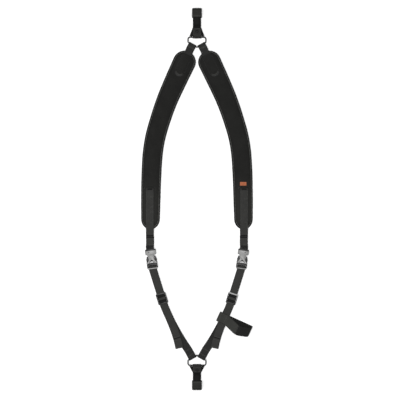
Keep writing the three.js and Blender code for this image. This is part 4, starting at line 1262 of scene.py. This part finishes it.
# ------------------------------------------------------------------ hardware from the CAD's own shapes
def softened(cad_node, name, material, bevel, segments=2, face=None, panel=None, cuts=(), bends=None):
    """A copy of a CAD node with its flat facets merged and its edges rounded off.

    face is (material, chosen) for part of what faces up. panel is (height in mm of a flat face, rim in mm),
    raised inside its rim. cuts are planes (point, normal) where the colour may change. bends is (body, body,
    start, end); when it is given the piece is baked in place and put on no body, and its bodies and ends are
    not used.
    """
    src = frame["nodes"][cad_node]
    body = src["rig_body"]
    mesh = src.data.copy()
    mesh.name = name
    obj = placed(name, mesh)
    mesh.materials.clear()
    mesh.materials.append(material)
    bm = bmesh.new()
    bm.from_mesh(mesh)
    bmesh.ops.remove_doubles(bm, verts=bm.verts, dist=1e-6)
    bmesh.ops.dissolve_limit(bm, angle_limit=math.radians(2), verts=bm.verts, edges=bm.edges)
    bmesh.ops.recalc_face_normals(bm, faces=bm.faces)
    if panel:
        top = [f for f in bm.faces if f.normal.z > 0.99 and f.calc_center_median().z > panel[0] * MM]
        bmesh.ops.inset_region(bm, faces=top, thickness=panel[1] * MM, depth=PANEL_RISE * MM,
                               use_even_offset=True)
    bm.to_mesh(mesh)
    bm.free()
    mod = obj.modifiers.new("edge", "BEVEL")
    mod.width = bevel * MM
    mod.segments = segments
    mod.limit_method = "ANGLE"
    mod.angle_limit = math.radians(28)
    mod.use_clamp_overlap = True
    mod.harden_normals = False
    dg = bpy.context.evaluated_depsgraph_get()
    made = bpy.data.meshes.new_from_object(obj.evaluated_get(dg))
    obj.modifiers.clear()
    obj.data = made
    made.name = name
    if cuts:
        bm = bmesh.new()
        bm.from_mesh(made)
        for point, normal in cuts:
            every = bm.verts[:] + bm.edges[:] + bm.faces[:]
            bmesh.ops.bisect_plane(bm, geom=every, plane_co=point * MM, plane_no=normal, dist=1e-7)
        bm.to_mesh(made)
        bm.free()
    for p in made.polygons:
        p.use_smooth = p.area < FLAT_AREA and not (len(p.vertices) > 4 and p.area > FLAT_AREA / 6)
    made.set_sharp_from_angle(angle=math.radians(38))
    if face:
        other, chosen = face
        made.materials.append(other)
        for p in made.polygons:
            if p.normal.z > 0.95 and chosen(p.center / MM):
                p.material_index = 1
    if bends:
        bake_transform(obj)
    else:
        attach(obj, body)
    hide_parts(cad_node)
    return obj


def gate_leaf(end):
    """The leaf spring, its foot on the neck, rounded off and put on no body; its bending ends are worked out
    but unused.
    """
    sign = HOOK[end]["sign"]
    lo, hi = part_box(f"{end}_hook_gate_spring")
    foot, tip = (lo, hi) if sign > 0 else (hi, lo)
    start = (0, foot[1] + sign * LEAF_FOOT, foot[2])
    stop = (0, tip[1] - sign * LEAF_TIP, foot[2])
    softened(f"{end}_hook_gate_spring", f"{end}_gate_leaf", M_STEEL, 0.1, 1,
             bends=(f"{end}_hook", f"{end}_gate", start, stop))


def in_buckle(side, p):
    """A point's place along the buckle's own axis."""
    dx, dy = p.x - side * BUCKLE["x"], p.y - BUCKLE["y"]
    return rotated(dx, dy, side * BUCKLE["tilt"])[1]


def buckle_cut(side, y):
    """The plane across the buckle at y along its own axis."""
    at = buckle_point(side, 0, y, 0)
    return at, buckle_point(side, 0, y + 1, 0) - at


def in_glide(side, p):
    """A point's place along the slider's own axis."""
    dx, dy = side * p.x - GLIDE[0], p.y - GLIDE[1]
    return dx * math.sin(GLIDE_TILT) + dy * math.cos(GLIDE_TILT)


def buckle_details(side, name):
    """The small moulded features of a buckle's face and arms."""
    # A sunk gate mark at the head of the face, darker as painted shade in its hollow, and a thin dark arch
    # beside its sight hole that is painted shadow.
    dimple = [[buckle_point(side, side * 4.4 + 1.3 * r * math.cos(a), 19.6 + 1.0 * r * math.sin(a), z)
               for a in turns(16)]
              for z, r in ((9.5, 1.0), (9.87, 1.0), (9.89, 0.8))]
    loft(f"{name}_buckle_dimple", dimple, M_PLASTIC_SHADED, body="harness", slot="moulded_plastic")
    fwd = buckle_axis(side)
    step = []
    for k in range(17):
        t = k / 16
        r = 0.1 + 1.35 * (1 - abs(2 * t - 1))
        c = buckle_point(side, -5.6 + 11.2 * t, -3.9 + 1.3 * math.sin(math.pi * t) + r, 9.8)
        step.append(hoop(c, fwd, UP, r, 0.14, 10))
    loft(f"{name}_buckle_arch_painted_shadow", step, M_PLASTIC_SHADED, body="harness", slot="moulded_plastic")
    # Finger ribs on the arms' press pads.
    for which, s in (("outer", side), ("inner", -side)):
        out_dir = (buckle_point(side, s, 0, 0) - buckle_point(side, 0, 0, 0)).normalized()
        for r in range(3):
            rings = [hoop(buckle_point(side, s * 12.95, -1.6 + r * 2.0, z), out_dir, fwd, 0.5, 0.45, 8)
                     for z in (3.2, 5.0, 6.8)]
            loft(f"{name}_{which}_arm_rib_{r}", rings, M_BUCKLE, body=f"{name}_{which}_arm",
                 slot="moulded_plastic")


def hook_details(end):
    """Grip ridges across the back of the hook's tip."""
    y, _ = RING_BAR[end]
    sign, length = HOOK[end]["sign"], HOOK[end]["length"]
    back = RING["z"] - 3.2 + 2 * (4.6 + 3.4)
    for k, d in enumerate((17.5, 14.2, 10.9)):
        rings = []
        for x in (-10.4, -9.6, 9.6, 10.4):
            r = 0.25 if abs(x) > 10 else 0.55
            middle = y + sign * (length - d)
            rings.append([Vector((x, middle + 0.9 * r / 0.55 * math.cos(a), back + r * math.sin(a)))
                          for a in turns(10)])
        loft(f"{end}_hook_ridge_{k}", rings, M_PLASTIC, body=f"{end}_hook", slot="moulded_plastic")


def hook_web(end):
    """The short webbing that holds a hook to its ring."""
    y, _ = RING_BAR[end]
    sign, web_end = HOOK[end]["sign"], HOOK[end]["web"]
    r = wrap_radius(RING["wire"])
    flat = 1 + 0.3 + THICK / 2

    def at(d, z):
        return Vector((0, y + sign * d, RING["z"] + z))

    pts = [at(web_end, -flat), at(12, -flat), at(6.5, -flat), at(3.6, -flat - 0.12)]
    pts += fold(Vector((0, y, RING["z"])), Vector((0, -sign, 0)), r)
    pts += [at(3.6, flat + 0.12), at(6.5, flat), at(12, flat), at(web_end, flat)]
    line = spaced(catmull(pts, per=8), 1.2)
    obj = strip(f"{end}_hook_tab", line, M_WEB_TOP, width=21, u=Vector((1, 0, 0)), body=f"{end}_hook")
    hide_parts(f"{end}_hook_web")
    tree = bvh_of(obj)
    runs = [across_run(tree, at(d, 4), Vector((1, 0, 0)), 9.0) for d in (web_end - 1.6, 5.2)]
    for s in (-1, 1):
        runs.append([(Vector((s * 8.9, y + sign * d, top_at(tree, s * 8.9, y + sign * d, 7) + 0.05)), UP)
                     for d in [5.2 + (web_end - 6.8) * k / 8 for k in range(9)]])
    stitch_mesh(f"{end}_hook_tab_stitching", runs, M_THREAD_DARK, body=f"{end}_hook",
                length=2.0, pitch=2.6, radius=0.28)


# ------------------------------------------------------------------ build
pads = {}
for name, side in SIDES.items():
    tree = bvh_of(pad_face(side, name))
    pads[name] = tree
    pad_backing(side, name)
    pad_binding(side, name)
    upper_web(side, name, tree)
    anchor_cover(side, name, tree)
    socket_web(side, name, tree)
    lower_strap(side, name)
    front_strap(side, name)
    glide_hump(side, name)
    # The socket's raised face and the plug's end bar are light grey: a painted reflection.
    softened(f"{name}_buckle_socket", f"{name}_socket", M_BUCKLE, 0.45,
             face=(M_PAINTED_REFLECTION, lambda p, k=side: p.z > 9.75 and in_buckle(k, p) < BUCKLE["socket_face"]),
             panel=(9.3, 0.5), cuts=[buckle_cut(side, BUCKLE["socket_face"])])
    softened(f"{name}_buckle_plug", f"{name}_plug", M_BUCKLE, 0.4,
             face=(M_PAINTED_REFLECTION, lambda p, k=side: p.z > 5 and in_buckle(k, p) < BUCKLE["plug_face"]),
             cuts=[buckle_cut(side, BUCKLE["plug_face"])])
    for arm in ("outer", "inner"):
        softened(f"{name}_buckle_{arm}_arm", f"{name}_{arm}_latch", M_BUCKLE, 0.4)
    # The slider's two end bars are light grey: a painted reflection.
    softened(f"{name}_tri_glide", f"{name}_slider", M_BUCKLE, 0.5, 3,
             face=(M_PAINTED_REFLECTION, lambda p, k=side: p.z > 6.5 and abs(in_glide(k, p)) > 10))
    buckle_details(side, name)
for end in ("upper", "lower"):
    ring(end)
    # Up-facing faces of the hook below 9.5 mm, at its neck, and its whole gate are in the darker plastic:
    # painted shade.
    softened(f"{end}_hook_body", f"{end}_hook_shell", M_PLASTIC, 0.7, 3,
             face=(M_PLASTIC_SHADED, lambda p: p.z < 9.5))
    softened(f"{end}_hook_gate", f"{end}_hook_tongue", M_PLASTIC_SHADED, 0.35)
    hook_web(end)
    hook_details(end)
    gate_leaf(end)
    for part in ("gate_pin", "rivet"):
        cad = frame["nodes"][f"{end}_hook_{part}"]
        cad.data.materials.clear()
        cad.data.materials.append(M_WIRE if part == "rivet" else M_STEEL)
keeper()
label(pads["right"])

# ------------------------------------------------------------------ floor, light, camera (in metres)
bpy.ops.mesh.primitive_plane_add(size=60, location=(0, 0, -0.0004))
floor = bpy.context.object
floor.name = "floor"
floor.data.materials.append(principled("floor_paper", (0.93, 0.93, 0.93), 0.95, specular=0.05)[0])

world = bpy.data.worlds.new("studio")
bpy.context.scene.world = world
world.use_nodes = True
world.node_tree.nodes["Background"].inputs["Color"].default_value = (1, 1, 1, 1)
world.node_tree.nodes["Background"].inputs["Strength"].default_value = 0.46


def area(name, location, target, size, power):
    data = bpy.data.lights.new(name, "AREA")
    data.shape = "SQUARE"
    data.size = size
    data.energy = power
    obj = placed(name, data)
    obj.location = location
    obj.rotation_mode = "QUATERNION"
    obj.rotation_quaternion = (Vector(target) - Vector(location)).to_track_quat("-Z", "Y")


area("overhead", (0.0, 0.15, 4.0), (0, 0, 0), 1.5, 118)
area("key", (-1.7, -0.9, 2.9), (0, 0, 0), 1.6, 36)

LENS, SENSOR = 120, 36
VIEW_WIDTH = 1.0  # metres across the picture, at the height the camera looks at
cam_data = bpy.data.cameras.new("camera")
cam = placed("camera", cam_data)
cam_data.lens = LENS
cam_data.sensor_width = SENSOR
distance = VIEW_WIDTH / (SENSOR / LENS)
cam.location = (0.0076, -0.0025, distance + 0.005)
cam.rotation_euler = (0, 0, 0)
cam_data.clip_end = 100
bpy.context.scene.camera = cam
bpy.context.scene.view_settings.view_transform = "Standard"
bpy.context.scene.view_settings.look = "None"
